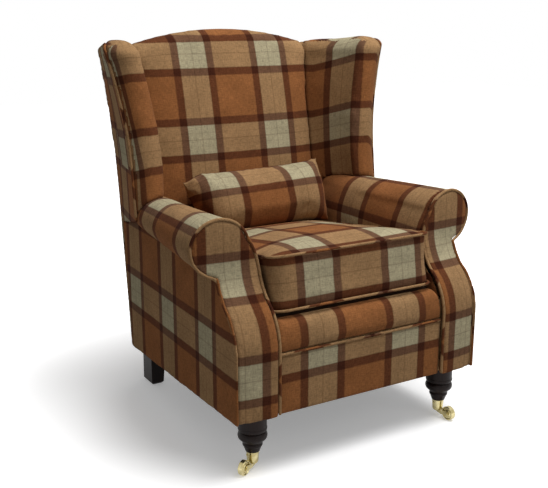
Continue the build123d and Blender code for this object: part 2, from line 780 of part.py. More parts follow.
save_pair("wing_cover", large(wing_cover))

board_levels = set_back_levels(WING_BOARD_SET, BOARD_TOP, 40)
wing_board = wing_slab(PANEL + 2 * CLEAR, BOARD_FACE, PANEL + CLEAR, board_levels)
save_pair("wing_frame", large(cut(wing_board, arm_space, under_wing_space)))
outside_wing = wing_slab(0, PANEL, PANEL + CLEAR, set_back_levels(WELT_R + CLEAR, PANEL_TOP, 36))
save_pair("outside_wing", large(cut(outside_wing, arm_space, under_wing_space)))
space_levels = set_back_levels(WING_BOARD_SET - CLEAR, BOARD_TOP + CLEAR, 40)
board_space = wing_slab(-20, BOARD_FACE + CLEAR, -20, space_levels)
wing_pad = cut(wing_body(COVER + SOFT_GAP, PAD_BACK), board_space, arm_space, under_wing_space, post_space)
save("wing_pads", large(wing_pad), large(other_side(wing_pad)))


def wing_edge(z, back=0.0):
    rear, front, along, inward = wing_line(z)
    point = front + along * back - inward * SOFT_GAP
    return (point.X, point.Y, z + wing_tilt(z, point.Y))


corner_back, corner_down, corner_r = PIPE_CORNER
piping_path = FilletPolyline(
    wing_edge(WING_LOW_FRONT + 6),
    wing_edge(FLARE_FROM_FRONT),
    *[wing_edge(between(FLARE_FROM_FRONT, FLARE_TO_FRONT, share)) for share in PIPE_BENDS],
    wing_edge(PIPE_TOP - corner_down),
    wing_edge(PIPE_TOP, corner_back),
    wing_edge(PIPE_TOP, WING_DEEP - WELT_R),
    radius=[*PIPE_BEND_R, corner_r, corner_r],
)
wing_piping = tube_along(piping_path.wire(), WELT_R)
save("wing_piping", wing_piping, other_side(wing_piping))

# ------------------------------------------------------------------ back
side_edge = [(back_half(z), z) for z in [BACK_BOTTOM_Z - 40] + [z for z, x in BACK_HALF_AT[1:]]]
back_sides = front_prism(-FAR, FAR, side_edge + [(-x, z) for x, z in reversed(side_edge)])


def back_profile(x, skin, open_by):
    """Side view of the inside back at x: bottom, swelling front, rolled crest, rear.

    open_by carries the form through the bottom and the rear, to hollow a cover.
    """
    top = crest_z(x) - skin
    crown = BACK_CROWN * (1 - (x / CREST_REACH) ** 2) - skin
    low_z = BACK_BOTTOM_Z - open_by
    high_z = crest_z(x) - CREST_FRONT_DROP
    middle_z = between(low_z, high_z, 0.5)
    seam_z = crest_z(x) - CREST_BACK_DROP
    front_low = (inside_y(low_z) - crown * 0.6, low_z)
    front_via = (inside_y(middle_z) - crown, middle_z)
    front_high = (inside_y(high_z) - crown * 0.5, high_z)
    rear = raked(seam_z + 1, skin)
    over = (between(front_high[0], rear[0], 0.5) + 3, top)
    hem_z = seam_z - open_by
    hem = raked(hem_z, skin)
    hook = raked(hem_z, PAD_BACK - open_by)
    foot = (rake_y(low_z, PAD_BACK - open_by), low_z)
    steps = [front_low, (front_via, front_high), (over, rear), hem, hook, foot]
    return outline(*lifted(steps, lambda y, z: (x, y, z)))


def inside_back(skin, open_by):
    """The upholstered inside back with its arched crest."""
    spots = [CREST_RUN * (k - CREST_PARTS / 2) for k in range(CREST_PARTS + 1)]
    return Solid.make_loft([back_profile(x, skin, open_by) for x in spots], True)


left_arm_space = other_side(arm_space)
back_cover = cut(common(inside_back(0, 0), back_sides), inside_back(COVER, 6), arm_space, left_arm_space)
save("inside_back_cover", large(back_cover))
back_pad = cut(common(inside_back(COVER + SOFT_GAP, 0), back_sides), arm_space, left_arm_space)
save("inside_back_pad", large(back_pad))

post_levels = WING_LEVELS[:-2] + [POST_TOP]
post_out = [(wing_back_x(z) - BOARD_FACE - CLEAR, z) for z in post_levels]
post_steps = [(post_out[0][0], REAR_FOOT - RAIL)] + post_out
below_frame = block(-FAR, FAR, -FAR, FAR, -FAR, REAR_FOOT)
post_steps += [(x - POST_WIDTH, z) for x, z in reversed(post_steps)]
rear_bolt, rear_bolt_hole = bolt_and_hole(REAR_LEG_X + BOLT_AWAY[0], REAR_LEG_Y + BOLT_AWAY[1], REAR_FOOT)
rear_post = back_plate(POST_BACK, POST_FRONT, post_steps)
save_pair("rear_post", cut(rear_post, rear_bolt_hole, below_frame))
POST_IN = post_out[0][0] - POST_WIDTH

rail_half = post_out[-1][0]
crest_half = back_half(TOP_RAIL_END_Z)
seam_drop = CREST_BACK_DROP + CLEAR
top_rail = back_plate(
    POST_BACK,
    POST_FRONT,
    [(rail_half, TOP_RAIL_END_Z), (rail_half, POST_TOP), (-rail_half, POST_TOP), (-rail_half, TOP_RAIL_END_Z)]
    + [(-crest_half, TOP_RAIL_END_Z)] + crest_line(crest_half, seam_drop) + [(crest_half, TOP_RAIL_END_Z)],
)
tack_rail = back_board(POST_BACK, POST_FRONT, POST_IN, TACK_RAIL_Z, TACK_RAIL_Z + TACK_RAIL_HIGH)
save("back_rails", top_rail, tack_rail)

web_low = TACK_RAIL_Z + TACK_RAIL_HIGH + WEBBING_UP
web_pitch = (POST_TOP - 20 - WEBBING_WIDE - web_low) / (WEBBING_ROWS - 1)
web_half = POST_IN + POST_WIDTH / 2
webs = []
for row in range(WEBBING_ROWS):
    z = web_low + row * web_pitch
    webs.append(back_board(POST_FRONT, POST_FRONT + WEBBING, web_half, z, z + WEBBING_WIDE))
save("back_webbing", *webs)

panel_edge = [(wing_back_x(z), z) for z in [panel_foot, *WING_LEVELS, PANEL_TOP]]
wing_top = [(wing_back_x(PANEL_TOP) - 12, WING_REAR_TOP), (crest_half + 16, WING_REAR_TOP)]
right_top = panel_edge + wing_top
crest_run = crest_line(crest_half + 8, seam_drop)
outside_back = back_plate(
    0,
    PANEL,
    right_top + crest_run[::-1] + [(-x, z) for x, z in reversed(right_top)],
)
save("outside_back", outside_back)

# ------------------------------------------------------------------ seat frame
front_rail = block(-STUMP_IN, STUMP_IN, FRONT_RAIL_Y, FRONT_RAIL_BACK, BASE_Z, CUSHION_Z)
save("front_seat_rail", cut(front_rail, deck_space, behind_facing, other_side(behind_facing)))
rear_rail = back_board(POST_FRONT, POST_FRONT + RAIL, POST_IN + POST_WIDTH, REAR_FOOT - RAIL, CUSHION_Z)
save("rear_seat_rail", cut(rear_rail, deck_space, below_frame))


def rear_face(z):
    return rake_y(z, POST_FRONT + RAIL)


level_end = LEG_Y + LEG_ROOM
slope_end = REAR_LEG_Y - REAR_TOP_HALF[1]
past_back = DEPTH / 2
side_rail = side_prism(
    STUMP_IN - RAIL,
    STUMP_IN,
    [
        (FRONT_RAIL_BACK, BASE_Z),
        (level_end, BASE_Z),
        (slope_end, REAR_FOOT),
        (past_back, REAR_FOOT),
        (past_back, deck_z(past_back, RAILS_AT + RAIL_DROP)),
        (FRONT_RAIL_BACK, deck_z(FRONT_RAIL_BACK, RAILS_AT + RAIL_DROP)),
    ],
)
side_rail = cut(side_rail, back_board(-FAR, POST_FRONT + RAIL, FAR, 0, HEIGHT))
save_pair("side_seat_rail", side_rail)

block_out = STUMP_IN - RAIL
block_in = block_out - CORNER_BLOCK
front_block = block(
    block_in, block_out, FRONT_RAIL_BACK, FRONT_RAIL_BACK + CORNER_BLOCK, BASE_Z, BASE_Z + CORNER_BLOCK_HIGH
)
block_y = rear_face(REAR_FOOT) - CORNER_BLOCK
rear_block = side_prism(
    block_in,
    block_out,
    [
        (block_y, foot_z(block_y)),
        (slope_end, REAR_FOOT),
        (rear_face(REAR_FOOT), REAR_FOOT),
        (rear_face(REAR_FOOT + CORNER_BLOCK_HIGH), REAR_FOOT + CORNER_BLOCK_HIGH),
        (block_y, REAR_FOOT + CORNER_BLOCK_HIGH),
    ],
)
save("corner_blocks", front_block, other_side(front_block), rear_block, other_side(rear_block))

# ------------------------------------------------------------------ springs and platform
deck_half = SEAT_HALF - 2 * CLEAR
platform_front = BORDER_Y + ROLL_DEPTH + CLEAR
platform_back = inside_y(BACK_TUCK_Z) - BACK_CROWN - 2
save("seat_platform", deck_slab(deck_half, platform_front, platform_back, CLEAR, CLEAR + PLATFORM))

rear_rail_top = deck_z(rear_face(270), RAILS_AT)
cloth_back = rake_y(rear_rail_top, POST_FRONT + 6)
save("spring_cloth", deck_slab(deck_half, FRONT_RAIL_Y + 6, cloth_back, CLOTH_AT, CLIPS_AT))

wire_front = FRONT_RAIL_BACK - RAIL / 2
wire_back = rake_y(rear_rail_top, POST_FRONT + RAIL / 2)
spring_pitch = 2 * deck_half / SPRINGS
bend_step = (wire_back - wire_front) / (SPRING_BENDS + 1)
springs = []
clips = []
for row in range(SPRINGS):
    x = -deck_half + spring_pitch * (row + 0.5)
    points = [(x, wire_front, deck_z(wire_front, WIRE_AT))]
    for bend in range(SPRING_BENDS):
        side = SPRING_SWAY if bend % 2 else -SPRING_SWAY
        for part in (0.75, 1.25):
            y = wire_front + bend_step * (bend + part)
            points.append((x + side, y, deck_z(y, WIRE_AT)))
    points.append((x, wire_back, deck_z(wire_back, WIRE_AT)))
    spring = tube_along(FilletPolyline(*points, radius=8).wire(), SPRING_WIRE)
    springs.append(spring)
    for y in (wire_front, wire_back):
        clip = side_prism(
            x - CLIP_HALF,
            x + CLIP_HALF,
            [
                (y - CLIP_HALF, deck_z(y - CLIP_HALF, RAILS_AT)),
                (y + CLIP_HALF, deck_z(y + CLIP_HALF, RAILS_AT)),
                (y + CLIP_HALF, deck_z(y + CLIP_HALF, CLIPS_AT)),
                (y - CLIP_HALF, deck_z(y - CLIP_HALF, CLIPS_AT)),
            ],
        )
        groove = tube_along(FilletPolyline(*points, radius=8).wire(), SPRING_WIRE + RUN)
        clips.append(cut(clip, groove))
save("seat_springs", *springs)
save("spring_clips", *clips)

# ------------------------------------------------------------------ front border and dust cover
border_half = SEAT_HALF - CLEAR
border_back = FRONT_RAIL_Y - CLEAR
border_panel = block(-border_half, border_half, BORDER_Y, border_back, BASE_Z, BORDER_PIPE_Z - WELT_R)
save("front_border_panel", border_panel)
pipe_y = BORDER_Y + WELT_R - WELT_PROUD
border_piping = rod(WELT_R, (-border_half, pipe_y, BORDER_PIPE_Z), (border_half, pipe_y, BORDER_PIPE_Z))
save("border_piping", border_piping)
roll_low = BORDER_PIPE_Z + WELT_R
roll_back = BORDER_Y + ROLL_DEPTH
roll_high = BORDER_TOP - roll_low
border_roll = side_prism(
    -border_half,
    border_half,
    [
        (BORDER_Y + 3, roll_low),
        ((BORDER_Y - 1, roll_low + roll_high * 0.33), (BORDER_Y + 4, roll_low + roll_high * 0.6)),
        ((BORDER_Y + 13, BORDER_TOP - 7), (BORDER_Y + 32, BORDER_TOP)),
        ((BORDER_Y + 44, BORDER_TOP - 1), (roll_back, BORDER_TOP - 6)),
        (roll_back, deck_z(roll_back, CLOTH_AT - CLEAR)),
        (border_back, deck_z(border_back, CLOTH_AT - CLEAR)),
        (border_back, roll_low),
    ],
)
save("front_border_roll", border_roll)

dust_half = STUMP_IN - DUST_EDGE
dust_front = FRONT_RAIL_Y + DUST_EDGE
dust_back = rake_y(REAR_FOOT, POST_FRONT + DUST_EDGE)
dust_line = [(dust_front, BASE_Z), (level_end, BASE_Z), (slope_end, REAR_FOOT), (dust_back, REAR_FOOT)]
dust = side_prism(-dust_half, dust_half, dust_line + [(y, z - DUST_CLOTH) for y, z in reversed(dust_line)])
leg_rooms = []
for s in (-1, 1):
    for y in (LEG_Y, REAR_LEG_Y):
        room = (s * LEG_X - LEG_ROOM, s * LEG_X + LEG_ROOM, y - LEG_ROOM, y + LEG_ROOM)
        leg_rooms.append(block(*room, 0, HEIGHT))
save("dust_cover", cut(dust, *leg_rooms))

# ------------------------------------------------------------------ legs
shoulder = CUP_TOP + FIT
tenon_foot = CUP_BOTTOM + CUP_FLOOR + FIT
tenon_r = CUP_R_TOP - CUP_WALL - CLEAR
screw_z = CUP_TOP - SCREW_DOWN
leg = turned(
    [
        (0, BASE_Z),
        (LEG_TOP_R, BASE_Z),
        *LEG_TURNING,
        (ANKLE_R, shoulder),
        (tenon_r, shoulder),
        (CUP_R_LOW - CUP_WALL - CLEAR, tenon_foot),
        (0, tenon_foot),
    ]
)
screw_run = ((-CUP_R_TOP, 0, screw_z), (CUP_R_TOP, 0, screw_z))
screw_core = rod(tenon_r - SCREW_LONG + CUP_WALL, (0, 0, 0), (0, 0, CUP_TOP))
screw_holes = cut(rod(SCREW_R + RUN, *screw_run), screw_core)
leg = cut(leg, rod(PIN_R + RUN, (0, 0, CUP_BOTTOM), (0, 0, CUP_BOTTOM + PIN_HIGH + 2)), screw_holes)
front_leg = cut(leg.moved(Location((LEG_X, LEG_Y, 0))), front_bolt_hole)
save_pair("front_leg", front_leg)


def rear_leg_wire(x, y, z, half_x, half_y):
    corners = [(-1, -1), (1, -1), (1, 1), (-1, 1)]
    return outline(*[(x + sx * half_x, y + sy * half_y, z) for sx, sy in corners])


sole_y = REAR_LEG_Y + REAR_LEG_KICK
sole_x, sole_half_y = REAR_SOLE_HALF
rear_leg = Solid.make_loft(
    [
        rear_leg_wire(REAR_SOLE_X, sole_y, 0, sole_x - CHAMFER, sole_half_y - CHAMFER),
        rear_leg_wire(REAR_SOLE_X, sole_y, CHAMFER, sole_x, sole_half_y),
        rear_leg_wire(REAR_LEG_X, REAR_LEG_Y, REAR_FOOT, *REAR_TOP_HALF),
    ],
    True,
)
save_pair("rear_leg", cut(rear_leg, rear_bolt_hole))
save("leg_bolts", front_bolt, rear_bolt, other_side(front_bolt), other_side(rear_bolt))

# ------------------------------------------------------------------ castors
cup = turned(
    [
        (0, CUP_BOTTOM),
        (CUP_R_LOW, CUP_BOTTOM),
        (CUP_R_TOP, CUP_TOP),
        (CUP_R_TOP - CUP_WALL, CUP_TOP),
        (CUP_R_LOW - CUP_WALL, CUP_BOTTOM + CUP_FLOOR),
        (0, CUP_BOTTOM + CUP_FLOOR),
    ]
)
cup = cut(cup, rod(PIN_R + RUN, (0, 0, 0), (0, 0, CUP_TOP)), screw_holes)

horn_top = CUP_BOTTOM - SWIVEL_GAP
horn_low = horn_top - HORN
arm_in = WHEEL_WIDE / 2 + HORN_GAP
arm_out = arm_in + HORN
plate = rod(CUP_R_LOW - 1.5, (0, 0, horn_low), (0, 0, horn_top))
horn = plate.fuse(rod(PIN_R, (0, 0, horn_low), (0, 0, horn_top + PIN_HIGH)))
for near, far in ((-arm_out, -arm_in), (arm_in, arm_out)):
    cheek = front_prism(
        near,
        far,
        [
            (-6, horn_low),
            (-6, horn_top),
            (14, horn_top),
            (TRAIL - 4, WHEEL_R + EYE_R),
            ((TRAIL + EYE_R, WHEEL_R), (TRAIL - 4, WHEEL_R - EYE_R)),
            (20, horn_low - 6),
        ],
    )
    horn = horn.fuse(cheek)
axle_end = arm_out + AXLE_HEAD
axle_line = ((TRAIL, -axle_end, WHEEL_R), (TRAIL, axle_end, WHEEL_R))
horn = cut(horn, rod(AXLE_R + RUN, *axle_line))
axle = rod(AXLE_R, *axle_line)
for side in (-1, 1):
    head_line = ((TRAIL, side * (arm_out + RUN), WHEEL_R), (TRAIL, side * axle_end, WHEEL_R))
    axle = axle.fuse(rod(AXLE_R + AXLE_HEAD, *head_line))
tread = WHEEL_WIDE / 2
hollow = tread - WHEEL_WEB_SET
web_in, web_out = WHEEL_WEB_R
wheel = turned(
    [
        (AXLE_R + RUN, -tread),
        (WHEEL_HUB_R, -tread),
        (web_in, -hollow),
        (web_out, -hollow),
        (WHEEL_RIM_R, -tread),
        (WHEEL_R - WHEEL_ROUND, -tread),
        (WHEEL_R, -tread + WHEEL_ROUND),
        (WHEEL_R, tread - WHEEL_ROUND),
        (WHEEL_R - WHEEL_ROUND, tread),
        (WHEEL_RIM_R, tread),
        (web_out, hollow),
        (web_in, hollow),
        (WHEEL_HUB_R, tread),
        (AXLE_R + RUN, tread),
    ],
    Axis.Y,
)
wheel = wheel.moved(Location((TRAIL, 0, WHEEL_R)))
screw_face = CUP_R_TOP
screw = rod(SCREW_R, (screw_face - SCREW_LONG, 0, screw_z), (screw_face, 0, screw_z))
screw = screw.fuse(rod(SCREW_HEAD, (screw_face, 0, screw_z), (screw_face + 1.2, 0, screw_z)))

screws = []
for side, name, angle in ((-1, "left", LEFT_SWIVEL), (1, "right", RIGHT_SWIVEL)):
    spot = Location((side * LEG_X, LEG_Y, 0))
    swung = spot * Location((0, 0, 0), (0, 0, 1), angle)
    save(f"castor_cup_{name}", cup.moved(spot))
    save(f"castor_horn_{name}", horn.moved(swung))
    save(f"castor_axle_{name}", axle.moved(swung))
    save(f"castor_wheel_{name}", wheel.moved(swung))
    screws += [screw.moved(spot), screw.mirror(Plane.YZ).moved(spot)]
save("cup_screws", *screws)


# ------------------------------------------------------------------ seat cushion
CUSHION_HALF = SEAT_HALF - CUSHION_GAP - 2 * WELT_R
CUSHION_FRONT = 2 * WELT_R
CUSHION_LONG = inside_y(BACK_TUCK_Z) - (FRONT + CUSHION_SET) - CUSHION_ROOM
CUSHION_BACK = CUSHION_LONG - 2 * WELT_R


def cushion_wire(z, inset, draw):
    """Plan of the cushion at a height: four sides drawn in a little, four round corners."""
    a = CUSHION_HALF - inset
    y0 = CUSHION_FRONT + inset
    y1 = CUSHION_BACK - inset
    r = CUSHION_CORNER
    k = r * (1 - sqrt(0.5))
    middle = between(y0, y1, 0.5)
    return outline(
        (-a + r, y0, z),
        ((0, y0 + draw, z), (a - r, y0, z)),
        ((a - k, y0 + k, z), (a, y0 + r, z)),
        ((a - draw, middle, z), (a, y1 - r, z)),
        ((a - k, y1 - k, z), (a - r, y1, z)),
        ((0, y1 - draw, z), (-a + r, y1, z)),
        ((-a + k, y1 - k, z), (-a, y1 - r, z)),
        ((-a + draw, middle, z), (-a, y0 + r, z)),
        ((-a + k, y0 + k, z), (-a + r, y0, z)),
    )


def cushion_body(skin):
    """The crowned box of the seat cushion, drawn in between its two rows of piping."""
    top = CUSHION_HIGH
    levels = [
        (-CROWN_LOW + skin, 40, 1),
        (-CROWN_LOW * 0.6 + skin, 16, 1),
        (skin * 0.6, 0, 1),
        (top * 0.25, DRAW_IN * 0.6, DRAW_IN),
        (top * 0.5, DRAW_IN * 0.8, DRAW_IN * 1.4),
        (top * 0.75, DRAW_IN * 0.6, DRAW_IN),
        (top - skin * 0.6, 0, 1),
        (top + CROWN_TOP * 0.42 - skin, 24, 1),
        (top + CROWN_TOP * 0.75 - skin, 64, 1),
        (top + CROWN_TOP - skin, 128, 1),
    ]
    return Solid.make_loft([cushion_wire(z, inset + skin, draw) for z, inset, draw in levels], True)


def zip_block(shrink):
    half = ZIP_LONG / 2 - shrink
    high = ZIP_HIGH / 2 - shrink
    middle = CUSHION_HIGH / 2
    return block(-half, half, CUSHION_BACK - 40, CUSHION_BACK + 20, middle - high, middle + high)


cushion_cover = cut(cushion_body(0), cushion_body(COVER), zip_block(0))
cushion_zip = cut(common(cushion_body(1), zip_block(CLEAR)), cushion_body(COVER))


def cushion_ring(z):
    width = 2 * (CUSHION_HALF + WELT_R)
    ring = RectangleRounded(width, CUSHION_LONG - 2 * WELT_R, CUSHION_CORNER + WELT_R).face().outer_wire()
    return tube_along(ring.moved(Location((0, CUSHION_LONG / 2, z))), WELT_R - CLEAR)


seat_place = SEAT_PLANE.location
save("seat_cushion_cover", cushion_cover.moved(seat_place))
save("seat_cushion_foam", cushion_body(COVER + CLEAR).moved(seat_place))
save("seat_cushion_piping", cushion_ring(0).moved(seat_place), cushion_ring(CUSHION_HIGH).moved(seat_place))
save("seat_cushion_zip", cushion_zip.moved(seat_place))


# ------------------------------------------------------------------ lumbar cushion
def lumbar_wire(depth, scale, skin):
    """Outline of the lumbar cushion in planes parallel to its seam, sides drawn in."""
    a = LUMBAR_WIDE / 2 * (1 - (1 - scale) * 0.42) - skin
    b = LUMBAR_HIGH / 2 * scale - skin
    d = LUMBAR_DRAW * between(0.4, 1, scale)
    sag = LUMBAR_SAG * between(0.4, 1, scale)
    return outline(
        (-a, -b, depth),
        ((0, -b + sag, depth), (a, -b, depth)),
        ((a - d, 0, depth), (a, b, depth)),
        ((0, b - d, depth), (-a, b, depth)),
        ((-a + d, 0, depth), (-a, -b, depth)),
    )


def lumbar_body(skin):
    half = LUMBAR_THICK / 2 - skin
    swell = [(1.0, 0.36), (0.95, 0.55), (0.84, 0.72), (0.66, 0.85), (0.42, 0.94), (0.18, 0.985)]
    levels = [(-share, scale) for share, scale in swell] + [(0, 1)] + swell[::-1]
    return Solid.make_loft([lumbar_wire(half * share, scale, skin) for share, scale in levels], True)


lumbar_place = (
    Location((LUMBAR_X, inside_y(LUMBAR_Z) - LUMBAR_SET, LUMBAR_Z))
    * Location((0, 0, 0), (1, 0, 0), 90 - LUMBAR_TILT)
    * Location((0, 0, 0), (0, 0, 1), LUMBAR_ROLL)
)
save("lumbar_cover", cut(lumbar_body(0), lumbar_body(COVER)).moved(lumbar_place))
save("lumbar_filling", lumbar_body(COVER + CLEAR).moved(lumbar_place))
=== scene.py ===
"""The looks of a fireside wing chair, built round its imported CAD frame.

Metres throughout, in the frame's own axes: +Z up, the sitter faces -Y, +X to the right seen
from the front. Each soft part starts as a skin over its CAD solids, is filled out, and gets its
cloth laid on in metres, panel by panel, so the checks match up as they do on the real chair.
"""

import json
import math

import bpy
import numpy as np
from mathutils import Matrix, Vector


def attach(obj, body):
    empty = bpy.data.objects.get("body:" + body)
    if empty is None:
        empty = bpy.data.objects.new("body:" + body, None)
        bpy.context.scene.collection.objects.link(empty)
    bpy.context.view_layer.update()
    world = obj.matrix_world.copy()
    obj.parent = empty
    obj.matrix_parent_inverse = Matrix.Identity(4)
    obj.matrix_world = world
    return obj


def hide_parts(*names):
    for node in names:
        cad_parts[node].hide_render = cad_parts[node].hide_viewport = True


bl_info = {
    "name": "Fireside Wing Chair",
    "version": (1, 0, 0),
    "blender": (4, 5, 0),
    "location": "View3D > Sidebar > Wing Chair",
    "description": "Upholsters and finishes a fireside wing chair in a woven check",
    "category": "Object",
}

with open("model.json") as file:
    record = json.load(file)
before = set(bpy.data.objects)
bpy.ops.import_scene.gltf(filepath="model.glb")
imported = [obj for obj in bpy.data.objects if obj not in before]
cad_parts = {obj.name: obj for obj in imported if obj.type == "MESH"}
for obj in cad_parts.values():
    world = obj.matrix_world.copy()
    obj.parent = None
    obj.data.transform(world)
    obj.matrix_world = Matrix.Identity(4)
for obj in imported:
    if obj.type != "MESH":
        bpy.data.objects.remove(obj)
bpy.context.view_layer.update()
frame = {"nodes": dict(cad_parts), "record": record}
NODES = frame["nodes"]


# ---------------------------------------------------------------- the chair's own sizes, in metres
FRONT = -0.410              # arm fronts
REAR = 0.410                # rear edge of the crest
CREST_EDGE = 1.046
CREST_ROLL = (0.345, 1.010, 0.036)          # y and z of the crest's middle, and its radius
CREST_ARCH = (0.31, 0.048)                  # half width of the crest, and its drop over that
RAKE = math.radians(6.7)
SEAT_PITCH = math.radians(8)
FACING_TURN = math.radians(5.7)
FACING_IN, FACING_OUT = 0.257, 0.371
FACING_Y = FRONT + 0.003 + (FACING_OUT - FACING_IN) * math.tan(FACING_TURN)
HIP, NECK, SWEEP = 0.320, 0.535, 0.102
BASE = 0.153
SCROLL = (0.357, 0.563, 0.075, 0.072)       # x, z and radii of the arm's scroll at the front
FACING_WRAP = 0.0235                        # how far side cloth runs forward over the facing's side
WING_ROLL = 0.041                           # radius of a wing's rolled front edge
WING_DEPTH = 0.246                          # depth of a wing's outer edge
WING_TOP = 1.0055                           # height of the piping along a wing's top
WELT = 0.0042                               # radius of the piping
CUSHION = (0.2444, 0.008, 0.564, 0.134)     # half width, front, back and height between pipings
LUMBAR = (0.233, 0.093, 0.0665)             # half its width, height and depth
CUSHION_PLACE = Matrix.Translation((0, FRONT + 0.034, 0.407)) @ Matrix.Rotation(-SEAT_PITCH, 4, "X")
LUMBAR_PLACE = (
    Matrix.Translation((0.008, FRONT + 0.5696, 0.5739))
    @ Matrix.Rotation(math.radians(70), 4, "X")
    @ Matrix.Rotation(math.radians(1.2), 4, "Z")
)


SIDES = ((1, "right"), (-1, "left"))


def rake_y(z):
    """Y of the raked outside back at a height."""
    return REAR - (CREST_EDGE - z) * math.tan(RAKE)


# ---------------------------------------------------------------- colour and node helpers
def hex_colour(text):
    """An sRGB hex colour as linear red, green and blue."""
    parts = [int(text[k : k + 2], 16) / 255 for k in (1, 3, 5)]
    return tuple(c / 12.92 if c <= 0.04045 else ((c + 0.055) / 1.055) ** 2.4 for c in parts)


def add_node(tree, kind, inputs=None, **settings):
    """A node with its settings. An input's value is a number, a colour or the output it is linked to."""
    made = tree.nodes.new(kind)
    for name, value in settings.items():
        setattr(made, name, value)
    for name, value in (inputs or {}).items():
        socket = made.inputs[name]
        if isinstance(value, bpy.types.NodeSocket):
            tree.links.new(value, socket)
        elif isinstance(value, tuple) and len(value) == 3 and socket.type == "RGBA":
            socket.default_value = (*value, 1.0)
        else:
            socket.default_value = value
    return made


def calculate(tree, operation, *values):
    """What a math node makes of numbers or outputs."""
    return add_node(tree, "ShaderNodeMath", dict(enumerate(values)), operation=operation).outputs[0]


def spread(tree, value, source, target):
    """A value carried from one range to another and held at its ends."""
    limits = dict(zip(("From Min", "From Max", "To Min", "To Max"), (*source, *target)))
    return add_node(tree, "ShaderNodeMapRange", {"Value": value, **limits}).outputs[0]


def noise(tree, place, scale, detail, others=None):
    inputs = {"Vector": place, "Scale": scale, "Detail": detail, **(others or {})}
    return add_node(tree, "ShaderNodeTexNoise", inputs)


def toned(tree, colour, tone):
    """A colour made darker or lighter."""
    return add_node(tree, "ShaderNodeVectorMath", {0: colour, "Scale": tone}, operation="SCALE").outputs[0]


def colour_ramp(tree, value, stops):
    """A value's colour between stops, which are (place, colour) pairs."""
    made = add_node(tree, "ShaderNodeValToRGB", {0: value})
    elements = made.color_ramp.elements
    elements.remove(elements[-1])
    elements[0].position, elements[0].color = stops[0][0], (*stops[0][1], 1)
    for place, colour in stops[1:]:
        elements.new(place).color = (*colour, 1)
    return made.outputs[0]


def new_material(name):
    """An empty material and its tree."""
    made = bpy.data.materials.new(name)
    made.use_nodes = True
    made.node_tree.nodes.clear()
    return made, made.node_tree


def put_out(tree, shader):
    add_node(tree, "ShaderNodeOutputMaterial", {"Surface": shader.outputs[0]})


def surface(tree, colour, roughness, bump, others=None):
    """The material's shader. bump is its strength, its depth in metres and its height output."""
    strength, depth, height = bump
    uneven = add_node(tree, "ShaderNodeBump", {"Strength": strength, "Distance": depth, "Height": height})
    inputs = {"Base Color": colour, "Roughness": roughness, "Normal": uneven.outputs[0], **(others or {})}
    put_out(tree, add_node(tree, "ShaderNodeBsdfPrincipled", inputs))


# ---------------------------------------------------------------- materials
WAVE_TURNS = 3.18           # waves to the metre of Blender's wave texture at scale 1
TWILL_PITCH = 0.0026        # the real twill has about 1 mm; this is as fine as shows at this size
MIDDLE = (0.3, 0.7)         # the range that most of a noise lies in


def stripes(look):
    """One repeat of the check as colour stops, the pale band in its middle."""

    def between(share):
        return tuple((1 - share) * b + share * d for b, d in zip(look.band, look.line))

    soft = 0.006
    half_band = look.band_width / look.repeat / 2
    half_dark = half_band + look.line_width / look.repeat
    # A pinstripe runs down the middle of the band, and a fainter one near each side.
    half = [
        (0.0, between(0.45)), (0.003, between(0.45)), (0.010, look.band),
        (0.066, look.band), (0.074, between(0.18)), (0.079, between(0.18)), (0.087, look.band),
        (half_band - soft, look.band), (half_band + soft, look.line),
        (half_dark - soft, look.line), (half_dark + soft, look.ground),
    ]
    return [(0.5 - place, colour) for place, colour in reversed(half)] + [
        (0.5 + place, colour) for place, colour in half[1:]
    ]


